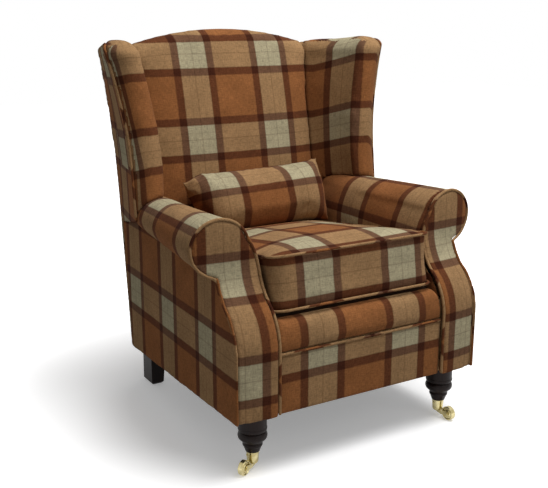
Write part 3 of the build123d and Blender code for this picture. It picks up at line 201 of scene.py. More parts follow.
def tartan_cloth(look):
    """Brushed woollen-look check, woven 2/2 twill from dyed yarn.

    Yarn-dyed stripes of warp and weft cross at half strength each, so crossings are blends;
    the twill gives fine diagonals and the brushing a soft, matt, slightly hairy surface.
    """
    made, tree = new_material("Wool-blend tweed, yarn-dyed check")
    place = add_node(tree, "ShaderNodeUVMap", uv_map="cloth").outputs[0]
    # Yarns wander by about half a millimetre, which keeps the stripe edges from being ruled.
    wander = noise(tree, place, 160.0, 2.0).outputs["Color"]
    drift = add_node(tree, "ShaderNodeVectorMath", {0: wander, 1: (0.5, 0.5, 0.5)}, operation="SUBTRACT")
    moved = add_node(
        tree, "ShaderNodeVectorMath", {0: drift.outputs[0], 1: (0.0022, 0.0022, 0), 2: place},
        operation="MULTIPLY_ADD",
    )
    apart = add_node(tree, "ShaderNodeSeparateXYZ", {0: moved.outputs[0]})
    yarns = []
    for axis in ("X", "Y"):
        turns = calculate(tree, "DIVIDE", apart.outputs[axis], look.repeat)
        share = calculate(tree, "FRACT", calculate(tree, "ADD", turns, 0.5))
        yarns.append(colour_ramp(tree, share, stripes(look)))
    crossed = add_node(
        tree, "ShaderNodeMix", {"Factor": 1.0, 6: yarns[0], 7: yarns[1]},
        data_type="RGBA", blend_type="MULTIPLY",
    )
    blended = add_node(tree, "ShaderNodeGamma", {"Color": crossed.outputs[2], "Gamma": 0.5}).outputs[0]
    turned = add_node(tree, "ShaderNodeMapping", {"Vector": place, "Rotation": (0, 0, math.radians(45))})
    twill = add_node(
        tree, "ShaderNodeTexWave",
        {"Vector": turned.outputs[0], "Scale": 1 / TWILL_PITCH / WAVE_TURNS, "Distortion": 1.2, "Detail": 1.0,
         "Detail Scale": 2.0},
        wave_type="BANDS", bands_direction="X",
    ).outputs[0]
    # Slubby, heathered yarn: real yarns are about 0.8 mm thick, drawn 2.2 mm thick and 14 mm long so
    # that they show, along the warp and along the weft.
    threads = []
    for across, along in ((450.0, 70.0), (70.0, 450.0)):
        drawn = add_node(tree, "ShaderNodeMapping", {"Vector": place, "Scale": (across, along, 1.0)})
        threads.append(noise(tree, drawn.outputs[0], 1.0, 3.0, {"Roughness": 0.6}).outputs[0])
    slub = calculate(tree, "ADD", *threads)
    yarn_tone = spread(tree, slub, (0.72, 1.28), (0.70, 1.32))
    wide_tone = spread(tree, noise(tree, place, 14.0, 3.0).outputs[0], MIDDLE, (0.88, 1.1))
    tone = calculate(tree, "MULTIPLY", yarn_tone, wide_tone)
    tone = calculate(tree, "MULTIPLY", tone, spread(tree, twill, (0.0, 1.0), (0.93, 1.05)))
    relief = calculate(tree, "ADD", twill, slub)
    surface(
        tree, toned(tree, blended, tone), 0.92, (0.35, 0.0006, relief),
        {"Sheen Weight": 0.02, "Sheen Roughness": 0.5, "Specular IOR Level": 0.03},
    )
    return made


def grained_wood(name, early, late, across, roughness, coat, depth, rubbed=None):
    """Wood with its grain along Z: streaks of a real width, 18 times as long, and fine pores."""
    made, tree = new_material(name)
    place = add_node(tree, "ShaderNodeTexCoord").outputs["Object"]
    early, late = hex_colour(early), hex_colour(late)
    drawn = add_node(
        tree, "ShaderNodeMapping", {"Vector": place, "Scale": (1 / across, 1 / across, 1 / across / 18)}
    ).outputs[0]
    grain = noise(tree, drawn, 1.0, 6.0, {"Roughness": 0.6, "Distortion": 0.6}).outputs[0]
    colour = colour_ramp(tree, grain, [(0.32, late), (0.52, early), (0.7, tuple(c * 0.86 for c in early))])
    height = calculate(tree, "ADD", grain, noise(tree, drawn, 6.0, 2.0).outputs[0])
    if rubbed:
        # Edges are knocked and rubbed paler: convex places by the mesh's own pointiness.
        form = add_node(tree, "ShaderNodeNewGeometry").outputs["Pointiness"]
        inputs = {"Factor": spread(tree, form, (0.53, 0.62), (0.0, 0.55)), 6: colour, 7: hex_colour(rubbed)}
        colour = add_node(tree, "ShaderNodeMix", inputs, data_type="RGBA").outputs[2]
    surface(
        tree, colour, roughness, (0.5, depth, height),
        {"Specular IOR Level": 0.12, "Coat Weight": coat, "Coat Roughness": 0.18},
    )
    return made


def metal(name, bright, dull, roughness, blotch, scratch):
    """Metal with a slightly uneven polish: cloudy roughness and fine wear."""
    made, tree = new_material(name)
    place = add_node(tree, "ShaderNodeTexCoord").outputs["Object"]
    cloud = noise(tree, place, 1 / blotch, 4.0).outputs[0]
    colour = colour_ramp(tree, cloud, [(0.35, hex_colour(dull)), (0.6, hex_colour(bright))])
    rough = spread(tree, cloud, MIDDLE, (roughness * 1.5, roughness * 0.8))
    fine = noise(tree, place, 1 / scratch, 2.0).outputs[0]
    surface(tree, colour, rough, (0.12, 0.0002, fine), {"Metallic": 1.0})
    return made


def plain_cloth(name, colour, thread, roughness, depth, woven=True):
    """Plain weave, threads over and under at a real spacing, or felted cloth."""
    made, tree = new_material(name)
    place = add_node(tree, "ShaderNodeTexCoord").outputs["Object"]
    inputs = {"Vector": place, "Scale": 1 / thread}
    if woven:
        inputs.update({"Color1": (1, 1, 1), "Color2": (0.4, 0.4, 0.4)})
        height = add_node(tree, "ShaderNodeTexChecker", inputs).outputs[1]
    else:
        height = add_node(tree, "ShaderNodeTexVoronoi", inputs, feature="F1").outputs[0]
    fuzz = noise(tree, place, 0.4 / thread, 3.0).outputs[0]
    shaded = toned(tree, hex_colour(colour), spread(tree, fuzz, MIDDLE, (0.82, 1.15)))
    surface(tree, shaded, roughness, (0.4, depth, height), {"Specular IOR Level": 0.15})
    return made


FINISHES = {
    "tartan": lambda: tartan_cloth(bpy.context.scene.chair_cloth),
    # Beech turned and sanded, stained almost black and lacquered satin: grain barely shows.
    "leg_wood": lambda: grained_wood(
        "Beech, dark stained, satin lacquer", early="#1b0f0c", late="#0c0605", across=0.004, roughness=0.4,
        coat=0.03, depth=0.00012, rubbed="#2e1a14",
    ),
    # Sawn and planed, unfinished: pale pinkish brown with short darker flecks.
    "beech": lambda: grained_wood(
        "Beech, planed, unfinished", early="#c99f72", late="#a97c50", across=0.006, roughness=0.7, coat=0.0,
        depth=0.0002,
    ),
    # Cast and polished, thinly lacquered: warm yellow, bright, a little cloudy with handling.
    "brass": lambda: metal(
        "Brass, cast and polished", bright="#dcd0a0", dull="#b0a272", roughness=0.2, blotch=0.02,
        scratch=0.0012,
    ),
    # Drawn wire, oil tempered: dark grey with a dull shine.
    "spring_steel": lambda: metal(
        "Spring steel, oil tempered", bright="#6a6a6c", dull="#3c3c3e", roughness=0.38, blotch=0.03,
        scratch=0.001,
    ),
    # Bright zinc plate, dulled where it was handled.
    "plated_steel": lambda: metal(
        "Steel, zinc plated", bright="#b9babb", dull="#8d8f92", roughness=0.3, blotch=0.01, scratch=0.001
    ),
    # Spun-bonded polypropylene: black, matt, a faint point-bonded dimple every 2 mm.
    "lining": lambda: plain_cloth(
        "Spun-bonded polypropylene, black", "#1b1a1a", thread=0.002, roughness=0.85, depth=0.0003, woven=False
    ),
    # Plain cotton drill over the springs: dark brown, matt, weave drawn at 2.2 mm.
    "platform": lambda: plain_cloth(
        "Cotton drill, dark brown", "#3a281c", thread=0.0022, roughness=0.9, depth=0.0003
    ),
    # Unbleached cotton over wadding: warm off-white, matt, plain weave drawn at 2.2 mm.
    "calico": lambda: plain_cloth(
        "Calico, unbleached", "#cfc3a6", thread=0.0022, roughness=0.9, depth=0.0004
    ),
    # Elasticated webbing: dark, ribbed across every 3 mm.
    "webbing": lambda: plain_cloth(
        "Rubberised webbing", "#3b332e", thread=0.003, roughness=0.8, depth=0.0005
    ),
    # Moulded nylon coil zip: brown, slightly shiny.
    "zip": lambda: plain_cloth(
        "Nylon coil zip, moulded", "#4a2f20", thread=0.0015, roughness=0.45, depth=0.0002, woven=False
    ),
}
MATERIALS = {}


def material(name):
    """One of the chair's materials, made when it is first asked for."""
    if name not in MATERIALS:
        MATERIALS[name] = FINISHES[name]()
    return MATERIALS[name]


# ---------------------------------------------------------------- mesh helpers
def read(items, name, width=3, kind=float):
    """One property of each of a mesh's items, as an array."""
    values = np.zeros(len(items) * width, kind)
    items.foreach_get(name, values)
    return values.reshape(-1, width) if width > 1 else values


def faces_of(mesh):
    return [tuple(face.vertices) for face in mesh.polygons]


def get_points(obj):
    return read(obj.data.vertices, "co")


def set_points(obj, points):
    obj.data.vertices.foreach_set("co", np.ascontiguousarray(points, float).ravel())
    obj.data.update()


def normals_of(obj):
    return read(obj.data.vertex_normals, "vector")


def arrays(obj):
    """A mesh object's points and triangles."""
    obj.data.calc_loop_triangles()
    return get_points(obj), read(obj.data.loop_triangles, "vertices", kind=int)


def new_object(name, points, faces, smooth=False):
    """A mesh object in the scene from points and faces."""
    mesh = bpy.data.meshes.new(name)
    mesh.from_pydata([tuple(p) for p in points], [], [tuple(f) for f in faces])
    mesh.update()
    if smooth:
        mesh.polygons.foreach_set("use_smooth", [True] * len(faces))
    made = bpy.data.objects.new(name, mesh)
    bpy.context.scene.collection.objects.link(made)
    return made


def evaluated(obj):
    """Points and faces of an object with its modifiers."""
    mesh = obj.evaluated_get(bpy.context.evaluated_depsgraph_get()).to_mesh()
    return read(mesh.vertices, "co"), faces_of(mesh)


def discard(obj):
    mesh = obj.data
    bpy.data.objects.remove(obj)
    bpy.data.meshes.remove(mesh)


def edges_of(faces):
    """Unique edges of quads or triangles."""
    pairs = set()
    for face in faces:
        for a, b in zip(face, face[1:] + face[:1]):
            pairs.add((a, b) if a < b else (b, a))
    return np.array(sorted(pairs))


def relaxed(points, edges, rounds):
    """Smooths points without shrinking the form: steps out after each step in."""
    points = points.copy()
    i, j = edges[:, 0], edges[:, 1]
    size = len(points)
    count = np.bincount(np.concatenate((i, j)), minlength=size)[:, None].clip(1)
    for _ in range(rounds):
        for step in (0.5, -0.52):
            mean = np.stack(
                [np.bincount(i, points[j, k], size) + np.bincount(j, points[i, k], size) for k in range(3)], 1
            ) / count
            points += step * (mean - points)
    return points


def largest_island(points, faces, edges):
    """The biggest connected part of a mesh, as points and faces."""
    label = np.arange(len(points))
    while True:
        low = np.minimum(label[edges[:, 0]], label[edges[:, 1]])
        new = label.copy()
        np.minimum.at(new, edges[:, 0], low)
        np.minimum.at(new, edges[:, 1], low)
        new = new[new]
        if (new == label).all():
            break
        label = new
    names, sizes = np.unique(label, return_counts=True)
    keep = label == names[sizes.argmax()]
    order = np.cumsum(keep) - 1
    return points[keep], [tuple(order[v] for v in f) for f in faces if keep[f[0]]]


def skin(name, nodes, voxel, stretch=(1, 1, 1), side=0, rounds=6, swell=0.0008):
    """One closed skin over CAD nodes, remeshed evenly and smoothed.

    A thin panel is stretched across its thickness while it is remeshed, so its two faces stay apart.
    The skin then swells by what remeshing takes off its edges, so that it meets the piping.
    """
    stretch = np.array(stretch, float)
    all_points, all_faces, start = [], [], 0
    for node in nodes:
        points, faces = arrays(NODES[node])
        if side:
            faces = faces[(points[faces][:, :, 0] * side > 0).all(1)]
        all_points.append(points * stretch)
        all_faces.append(faces + start)
        start += len(points)
    rough = new_object(name + "_rough", np.vstack(all_points), np.vstack(all_faces).tolist())
    remesh = rough.modifiers.new("Remesh", "REMESH")
    remesh.mode = "VOXEL"
    remesh.voxel_size = voxel
    points, faces = evaluated(rough)
    discard(rough)
    edges = edges_of(faces)
    points, faces = largest_island(points, faces, edges)
    edges = edges_of(faces)
    points = relaxed(points / stretch, edges, rounds)
    made = new_object(name, points, faces, smooth=True)
    set_points(made, points + swell * normals_of(made))
    return made


PUFF_FRAMES = 20


def puff(obj, cap, free, shrink=0.0, pin=None):
    """Fills a pad out with cloth simulation. free gives each point's share of the cap."""
    scene = bpy.context.scene
    before = get_points(obj)
    trial = new_object(obj.name + "_trial", before, faces_of(obj.data))
    cloth = trial.modifiers.new("Cloth", "CLOTH")
    cloth.settings.use_pressure = True
    cloth.settings.uniform_pressure_force = 4.0
    cloth.settings.effector_weights.gravity = 0
    cloth.settings.quality = 4
    cloth.settings.shrink_min = shrink
    if pin is not None:
        group = trial.vertex_groups.new(name="sewn")
        group.add([int(k) for k in np.flatnonzero(pin)], 1.0, "REPLACE")
        cloth.settings.vertex_group_mass = "sewn"
    cloth.point_cache.frame_start = 1
    cloth.point_cache.frame_end = PUFF_FRAMES
    for number in range(1, PUFF_FRAMES + 1):
        scene.frame_set(number)
    after, _ = evaluated(trial)
    discard(trial)
    scene.frame_set(1)
    move = after - before
    length = np.linalg.norm(move, axis=1, keepdims=True).clip(1e-9)
    share = free(before)[:, None]
    set_points(obj, before + move * np.minimum(1, cap / length) * share)


def ramp(value, low, high):
    """0 below low, 1 above high, smooth between."""
    t = np.clip((value - low) / (high - low), 0, 1)
    return t * t * (3 - 2 * t)


def waviness(points, size, seed):
    """Gentle made-up unevenness, the same on every run: -1 to 1 over about that size."""
    out = np.zeros(len(points))
    rng = np.random.RandomState(seed)
    for _ in range(6):
        direction = rng.normal(size=3)
        direction /= np.linalg.norm(direction)
        out += np.sin(points @ direction * (2 * math.pi / size / rng.uniform(0.6, 1.5)) + rng.uniform(0, 6.3))
    return out / 6


def one_chart(centres, normals):
    return np.zeros(len(centres), int)


def lay_cloth(obj, *charts, pick=one_chart):
    """Lays the cloth on in metres: pick(centres, normals) gives each face the number of its chart."""
    panels = obj.data.polygons
    number = pick(read(panels, "center"), read(panels, "normal"))
    number = np.repeat(number, read(panels, "loop_total", 1, int))
    places = get_points(obj)[corners_of(obj)]
    flat = np.zeros((len(places), 2))
    for k, chart in enumerate(charts):
        here = number == k
        if here.any():
            flat[here] = np.stack(chart(places[here]), 1)
    put_cloth(obj, flat)


def corners_of(obj):
    """The point at each corner of each face."""
    return read(obj.data.loops, "vertex_index", 1, int)


def put_cloth(obj, flat):
    """Gives a piece the check, with each face corner's place on the flat cloth."""
    layer = obj.data.uv_layers.new(name="cloth")
    layer.uv.foreach_set("vector", np.ravel(flat))
    obj.data.materials.append(material("tartan"))


def soften(obj):
    smooth = obj.modifiers.new("Smooth", "SUBSURF")
    smooth.levels = smooth.render_levels = 1


def mirrored(name, obj):
    """The same form on the other side of the chair."""
    faces = [face[::-1] for face in faces_of(obj.data)]
    return new_object(name, get_points(obj) * (-1, 1, 1), faces, smooth=True)


def local_to(place):
    """A function that takes points into the axes of a placed cushion."""
    inverse = np.array(place.inverted())
    return lambda points: points @ inverse[:3, :3].T + inverse[:3, 3]


def push(obj, amount):
    """Moves each point out along its normal."""
    set_points(obj, get_points(obj) + normals_of(obj) * np.reshape(amount, (-1, 1)))


def shared(side, node):
    """A node made for both sides at once is stood for by the right side's piece."""
    return [node] if side == 1 else []


def settle(obj, body, nodes):
    """Hands a piece over to the frame: its body and the nodes it stands for."""
    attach(obj, body)
    if nodes:
        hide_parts(*nodes)
    return obj


# ---------------------------------------------------------------- piping
BIAS = 0.707
BIAS_SHIFT = 0.130          # and where two pale bands never cross on it


def resampled(path, step, closed):
    """Points along a path at an even step."""
    path = np.array(path, float)
    if closed:
        path = np.vstack((path, path[:1]))
    run = np.concatenate(([0], np.cumsum(np.linalg.norm(np.diff(path, axis=0), axis=1))))
    number = max(4, int(round(run[-1] / step)))
    at = np.linspace(0, run[-1], number + (0 if closed else 1), endpoint=not closed)
    return np.stack([np.interp(at, run, path[:, k]) for k in range(3)], 1), at


def piping(name, path, seed, radius=WELT, closed=False):
    """Cord in a bias-cut strip of the cloth, with the slight lumps of a sewn cord."""
    around = 10
    centre, at = resampled(path, 0.005, closed)
    if closed:
        ahead = np.roll(centre, -1, 0) - np.roll(centre, 1, 0)
    else:
        ahead = np.gradient(centre, axis=0)
    ahead /= np.linalg.norm(ahead, axis=1, keepdims=True)
    rng = np.random.RandomState(seed)
    lumps = np.convolve(rng.uniform(-1, 1, len(centre) + 4), [0.25] * 4, "same")[: len(centre)]
    size = radius * (1 + 0.05 * lumps)
    side = np.cross(ahead[0], (0.31, 0.17, 0.93))
    side /= np.linalg.norm(side)
    rings = []
    for k in range(len(centre)):
        side = side - ahead[k] * (side @ ahead[k])
        side /= np.linalg.norm(side)
        up = np.cross(ahead[k], side)
        angle = np.linspace(0, 2 * math.pi, around, endpoint=False)[:, None]
        rings.append(centre[k] + size[k] * (np.cos(angle) * side + np.sin(angle) * up))
    points = np.vstack(rings)
    faces = []
    runs = len(centre) if closed else len(centre) - 1
    for k in range(runs):
        a, b = k * around, (k + 1) % len(centre) * around
        for m in range(around):
            n = (m + 1) % around
            faces.append((a + m, a + n, b + n, b + m))
    if not closed:
        faces.append(tuple(range(around))[::-1])
        faces.append(tuple(range(len(points) - around, len(points))))
    made = new_object(name, points, faces, smooth=True)
    flat = []
    for k, face in enumerate(faces):
        for v in face:
            ring, spot = divmod(v, around)
            last = closed and ring == 0 and k // around == runs - 1
            along = at[1] * len(at) if last else at[ring]
            turned = spot / around
            # The face that closes a ring ends a whole turn on, not back at its start.
            if turned == 0 and face[0] % around == around - 1:
                turned = 1.0
            across = turned * 2 * math.pi * radius
            flat += [(along + across) * BIAS, (along - across) * BIAS + BIAS_SHIFT]
    put_cloth(made, flat)
    soften(made)
    return made


# ---------------------------------------------------------------- the arms' own lines
def ellipse(x, z, rx, rz, angle):
    angle = math.radians(angle)
    return (x + rx * math.cos(angle), z + rz * math.sin(angle))


def arc(a, via, b, count):
    """Points on the circle through three points, after a and up to b."""
    (ax, az), (vx, vz), (bx, bz) = a, via, b
    d = 2 * (ax * (vz - bz) + vx * (bz - az) + bx * (az - vz))
    ux = ((ax**2 + az**2) * (vz - bz) + (vx**2 + vz**2) * (bz - az) + (bx**2 + bz**2) * (az - vz)) / d
    uz = ((ax**2 + az**2) * (bx - vx) + (vx**2 + vz**2) * (ax - bx) + (bx**2 + bz**2) * (vx - ax)) / d
    angles = [math.atan2(z - uz, x - ux) for x, z in (a, via, b)]
    sweep = (angles[2] - angles[0]) % (2 * math.pi)
    if (angles[1] - angles[0]) % (2 * math.pi) > sweep:
        sweep -= 2 * math.pi
    r = math.hypot(ax - ux, az - uz)
    turns = [angles[0] + sweep * k / count for k in range(1, count + 1)]
    return [(ux + r * math.cos(t), uz + r * math.sin(t)) for t in turns]


def facing_line(low):
    """Front view of a facing's edge on the right: up inside, over the scroll, down outside."""
    lip, neck = ellipse(*SCROLL, 164), ellipse(*SCROLL, -75)
    bend = (FACING_IN, 0.500)
    via = ((bend[0] + lip[0]) / 2 - 0.005, (bend[1] + lip[1]) / 2 + 0.002)
    outer = min(FACING_OUT, neck[0] - 0.001)
    points = [(FACING_IN, low), bend]
    points += arc(bend, via, lip, 8)
    points += [ellipse(*SCROLL, a) for a in range(160, -76, -4)]
    points += [(outer, neck[1] - 0.004), (outer, low)]
    return points


def front_curve(z):
    """Y of the arm's S shaped front at a height, before it is turned out in plan."""
    z = np.asarray(z, float)
    rise = NECK - HIP
    radius = (SWEEP**2 + rise**2) / (4 * SWEEP)
    middle = (HIP + NECK) / 2
    low = FACING_Y + radius - np.sqrt(radius**2 - np.clip(z - HIP, 0, rise / 2) ** 2)
    high = FACING_Y + SWEEP - radius + np.sqrt(radius**2 - np.clip(NECK - z, 0, rise / 2) ** 2)
    return np.where(z < middle, low, high)


def facing_y(x, z, proud=0.0):
    """Y of the facing's cloth on the right arm."""
    depth = front_curve(z) - proud - FACING_Y
    return FACING_Y + (depth + (x - FACING_OUT) * math.sin(FACING_TURN)) / math.cos(FACING_TURN)


HEIGHTS = np.linspace(0.1, 0.7, 601)
CURVE_STEPS = np.hypot(np.diff(HEIGHTS), np.diff(front_curve(HEIGHTS)))
CURVE_RUN = np.concatenate(([0], np.cumsum(CURVE_STEPS)))


def up_the_front(z):
    """Length of cloth up the arm's S shaped front, from the floor up."""
    return HEIGHTS[0] + np.interp(z, HEIGHTS, CURVE_RUN)


def scroll_at(y):
    """The arm scroll's x, z and radii at a depth."""
    stations = [
        (-0.294, 0.357, 0.563, 0.075, 0.072),
        (0.119, 0.335, 0.566, 0.063, 0.049),
        (0.314, 0.322, 0.562, 0.032, 0.044),
    ]
    depth = [s[0] for s in stations]
    return [np.interp(y, depth, [s[k] for s in stations]) for k in range(1, 5)]


# ---------------------------------------------------------------- where the check lies on each panel
COLUMN = 0.139              # x of a pale column on the back
CUSHION_COLUMN = 0.145      # and on the seat cushion
BORDER_COLUMN = 0.133       # and on the front border
FACING_COLUMN = {1: 0.342, -1: -0.350}      # and on each facing
ROW_BACK = 0.742            # height of a pale row on the inside back and the wings
ROW_STRETCH = 1.05          # length of cloth to height on the inside back
ROW_FACING = 0.488          # height of a pale row on the facings
ROW_BORDER = 0.299          # and on the front border
ROW_ROLL = 0.243            # the roll above it shows the ground between two pale rows
SIDE_COLUMN = 0.007         # y of a pale column on the outside arms and wings
SIDE_STRETCH = 1.074        # length of cloth to depth there
ROW_SIDE = 0.313            # height of a pale row on the outside arms
SEAT_ROW = 0.075            # depth of a pale row on the seat, from the front
ARM_RING = -0.232           # y of a pale ring round the arm
ARM_BAND = {1: 0.070, -1: 0.105}            # cloth from the scroll's outer side to a band along the arm
WING_COLUMN = {1: 0.111, -1: 0.165}         # cloth from the front of the roll to a pale column
WING_ROWS = {1: (0.26, 0.7, -0.002), -1: (0.117, 0.3, -0.0154)}     # slope, drop on the roll, shift
LUMBAR_PLACING = (0.128, 0.073)             # a pale crossing on the lumbar cushion


def back_rows(z):
    return (z - ROW_BACK) * ROW_STRETCH


def front_chart(row, stretch=1.0, column=COLUMN):
    return lambda p: (p[:, 0] - column, (p[:, 2] - row) * stretch)


def arm_side_chart(p):
    return (p[:, 1] - SIDE_COLUMN) * SIDE_STRETCH, p[:, 2] - ROW_SIDE


def wing_side_chart(p):
    return (p[:, 1] - SIDE_COLUMN) * SIDE_STRETCH, back_rows(p[:, 2])


# ---------------------------------------------------------------- settings
def metres(name, description, default, low=0.0):
    return bpy.props.FloatProperty(
        name=name, description=description, default=default, min=low, subtype="DISTANCE", unit="LENGTH"
    )


def dye(name, description, text):
    return bpy.props.FloatVectorProperty(
        name=name, description=description, default=hex_colour(text), size=3, min=0, max=1, subtype="COLOR"
    )


def factor(name, description, default):
    return bpy.props.FloatProperty(
        name=name, description=description, default=default, min=0, subtype="FACTOR"
    )


class ChairClothSettings(bpy.types.PropertyGroup):
    """Yarn colours and sizes of the check."""

    repeat: metres("Repeat", "Size of one repeat of the check", 0.260, 0.02)
    band_width: metres("Pale band", "Width of the pale band", 0.086, 0.005)
    line_width: metres("Dark stripe", "Width of the dark stripe on each side of the band", 0.024, 0.001)
    ground: dye("Ground", "Rust ground yarn", "#865632")
    band: dye("Band", "Sage band yarn", "#a2987b")
    line: dye("Stripe", "Dark brown stripe yarn", "#3f2014")


class ChairPaddingSettings(bpy.types.PropertyGroup):
    """How far each pad may fill out."""

    cushion: metres("Seat cushion", "Most that the seat cushion fills out", 0.007)
    lumbar: metres("Lumbar cushion", "Most that the lumbar cushion fills out", 0.010)
    back: metres("Inside back", "Most that the inside back fills out", 0.006)
    sides: metres("Wings and arms", "Most that wings and arms fill out", 0.004)
    roll: metres("Border roll", "Most that the rolled front edge fills out", 0.007)


class ChairStageSettings(bpy.types.PropertyGroup):
    """Camera, light and floor."""

    lens: bpy.props.FloatProperty(
        name="Lens", description="Focal length for a 36 mm wide sensor", default=59.06, min=10,
        subtype="DISTANCE_CAMERA",
    )
    key_light: bpy.props.FloatProperty(
        name="Key light", description="Power of the large soft light", default=116.0, min=0,
        subtype="POWER", unit="POWER",
    )
    room_light: factor("Room light", "Strength of the light from all round", 0.29)
    lift: factor("Floor lift", "Light added to the floor where it is seen", 0.26)
    floor: dye("Floor", "Floor colour", "#f6f6f6")


# ---------------------------------------------------------------- pieces
class CHAIR_OT_inside_back(bpy.types.Operator):
    """Upholsters the inside back, over its arched crest to the seam behind"""

    bl_idname = "chair.inside_back"
    bl_label = "Inside back"

    def execute(self, context):
        nodes = ["inside_back_cover", "inside_back_pad"]
        pad = skin("inside_back", nodes, voxel=0.0085, rounds=6)
        puff(pad, context.scene.chair_padding.back, self.free)
        lay_cloth(pad, self.chart)
        soften(pad)
        settle(pad, "chair", nodes)
        return {"FINISHED"}

    @staticmethod
    def free(p):
        """The face above the seat is free, the seam behind is held."""
        return ramp(p[:, 2], 0.42, 0.50) * ramp(rake_y(p[:, 2]) - p[:, 1], 0.03, 0.06)

    @staticmethod
    def chart(p):
        """Up the front, then round the crest: the crest's own centre follows its arch."""
        axis_y, axis_z, radius = CREST_ROLL
        half, drop = CREST_ARCH
        centre = axis_z - drop * (p[:, 0] / half) ** 2
        around = np.arctan2(p[:, 2] - centre, axis_y - p[:, 1])
        over = centre + 0.8 * radius * np.clip(around, 0, 3)
        return p[:, 0] - COLUMN, back_rows(np.where(p[:, 2] > centre, over, p[:, 2]))


class CHAIR_OT_wings(bpy.types.Operator):
    """Upholsters both wings and pipes their outer edges"""

    bl_idname = "chair.wings"
    bl_label = "Wings"

    def execute(self, context):
        nodes = ["wing_cover_right", "wing_pads", "wing_frame_right"]
        right = skin("wing_right", nodes, voxel=0.0065, side=1, rounds=4, swell=0.0014)
        puff(right, context.scene.chair_padding.sides, self.free)
        # Remeshing takes more off the narrow top.
        push(right, 0.0028 * ramp(get_points(right)[:, 2], 0.97, 1.0))
        left = mirrored("wing_left", right)
        for wing, (side, name) in zip((right, left), SIDES):
            self.lay(wing, side)
            soften(wing)
            settle(wing, "chair", [f"wing_cover_{name}"] + shared(side, "wing_pads"))
        edge = self.outer_edge()
        for side, name in SIDES:
            path = [(x * side, y, z) for x, y, z in edge]
            welt = piping(f"wing_piping_{name}", path, seed=3 + side, radius=WELT * 0.95)
            settle(welt, "chair", shared(side, "wing_piping"))
        return {"FINISHED"}

    @staticmethod
    def free(p):
        """All but the foot and the seam behind is free."""
        return ramp(p[:, 2], 0.60, 0.70) * ramp(0.33 - p[:, 1], 0.0, 0.05)

    @staticmethod
    def lay(wing, side):
        """Cloth runs from the back corner along the inner face and round the rolled front edge."""

        def chart(p):
            x = p[:, 0] * side
            centre_y = np.interp(p[:, 2], [0.5, 1.01], [0.085, 0.150]) + 0.006
            outer = np.interp(p[:, 2], [0.5, 0.7, 0.995], [0.400, 0.404, 0.452])
            centre_x = outer - WING_ROLL
            angle = np.arctan2(centre_x - x, centre_y - p[:, 1])
            inner = WING_ROLL * math.pi / 2 + (p[:, 1] - centre_y)
            run = np.where(p[:, 1] > centre_y, inner, WING_ROLL * angle)
            # Pulled tight round the wing, the rows rise towards its front and drop over the roll.
            depth = np.clip(rake_y(p[:, 2]) - 0.095 - p[:, 1], 0, 0.16)
            slope, drop, shift = WING_ROWS[side]
            rise = shift + slope * depth - drop * np.clip(x - centre_x, 0, None)
            return run - WING_COLUMN[side], back_rows(p[:, 2] - rise)

        def top_chart(p):
            return p[:, 1] - 0.25, back_rows(1.0) + (p[:, 0] * side - 0.40)

        lay_cloth(wing, chart, top_chart, pick=lambda centres, normals: (normals[:, 2] > 0.85).astype(int))

    @classmethod
    def outer_edge(cls):
        """The line of the right wing's piping: up the front, round the corner and along the top."""
        upright = (0.566, 0.60, 0.65, 0.70, 0.75, 0.80, 0.85, 0.90, 0.93, 0.96, 0.98, 0.992)
        corner = [(0.998, 0.005, 0.002), (1.003, 0.011, 0.004)]
        along = [(WING_TOP, back, 0.005) for back in (0.020, 0.06, 0.12, 0.18)] + [(1.003, 0.236, 0.004)]
        return [cls.edge(z) for z in upright] + [cls.edge(*place) for place in corner + along]

    @staticmethod
    def edge(z, back=0.0, inset=0.0004):
        """A point of the piping on the right wing's outer edge, so far behind its front."""
        rear_x = 0.352 + 0.030 * (max(0, z - 0.6) / 0.414) ** 1.8
        rear = Vector((rear_x, rake_y(z)))
        flare = min(1, max(0, z - 0.7) / 0.295)
        front = Vector((0.404 + 0.050 * flare**2, rake_y(z) - WING_DEPTH))
        along = (rear - front).normalized()
        inward = Vector((-along.y, along.x))
        point = front + along * back + inward * inset
        tilt = 0.025 * max(0, z - 0.88) / 0.134 * (rake_y(z) - point.y) / WING_DEPTH
        return (point.x, point.y, z + tilt)


class CHAIR_OT_arms(bpy.types.Operator):
    """Upholsters the scroll arms between facing, wing and seat"""

    bl_idname = "chair.arms"
    bl_label = "Arms"

    def execute(self, context):
        nodes = ["arm_cover_right", "arm_pads", "arm_rail_right"]
        right = skin("arm_right", nodes, voxel=0.0065, stretch=(2.5, 1, 1), side=1, rounds=4)
        puff(right, context.scene.chair_padding.sides, self.free)
        # It stands a little proud where it is sewn to the facing.
        points = get_points(right)
        push(right, 0.003 * ramp(facing_y(points[:, 0], points[:, 2]) + 0.014 - points[:, 1], 0, 0.010))
        left = mirrored("arm_left", right)
        for arm, (side, name) in zip((right, left), SIDES):
            lay_cloth(arm, lambda p, side=side: self.chart(p, side))
            soften(arm)
            settle(arm, "chair", [f"arm_cover_{name}"] + shared(side, "arm_pads"))
        return {"FINISHED"}

    @staticmethod
    def free(p):
        """The scroll in front of the wing is free."""
        return ramp(p[:, 2], 0.57, 0.60) * ramp(0.05 - p[:, 1], 0, 0.05)

    @staticmethod
    def chart(p, side):
        """Along the arm, and round the scroll from its outer side down to the seat."""
        x, z, rx, rz = scroll_at(p[:, 1])
        angle = np.degrees(np.arctan2((p[:, 2] - z) / rz, (p[:, 0] * side - x) / rx))
        inner = (p[:, 2] < z) & (p[:, 0] * side < x - 0.5 * rx)
        angle = np.where(inner, angle % 360, angle)
        down = np.where(inner, z - p[:, 2], 0)
        return p[:, 1] - ARM_RING, np.radians(np.minimum(angle, 180)) * SCROLL[2] + down - ARM_BAND[side]


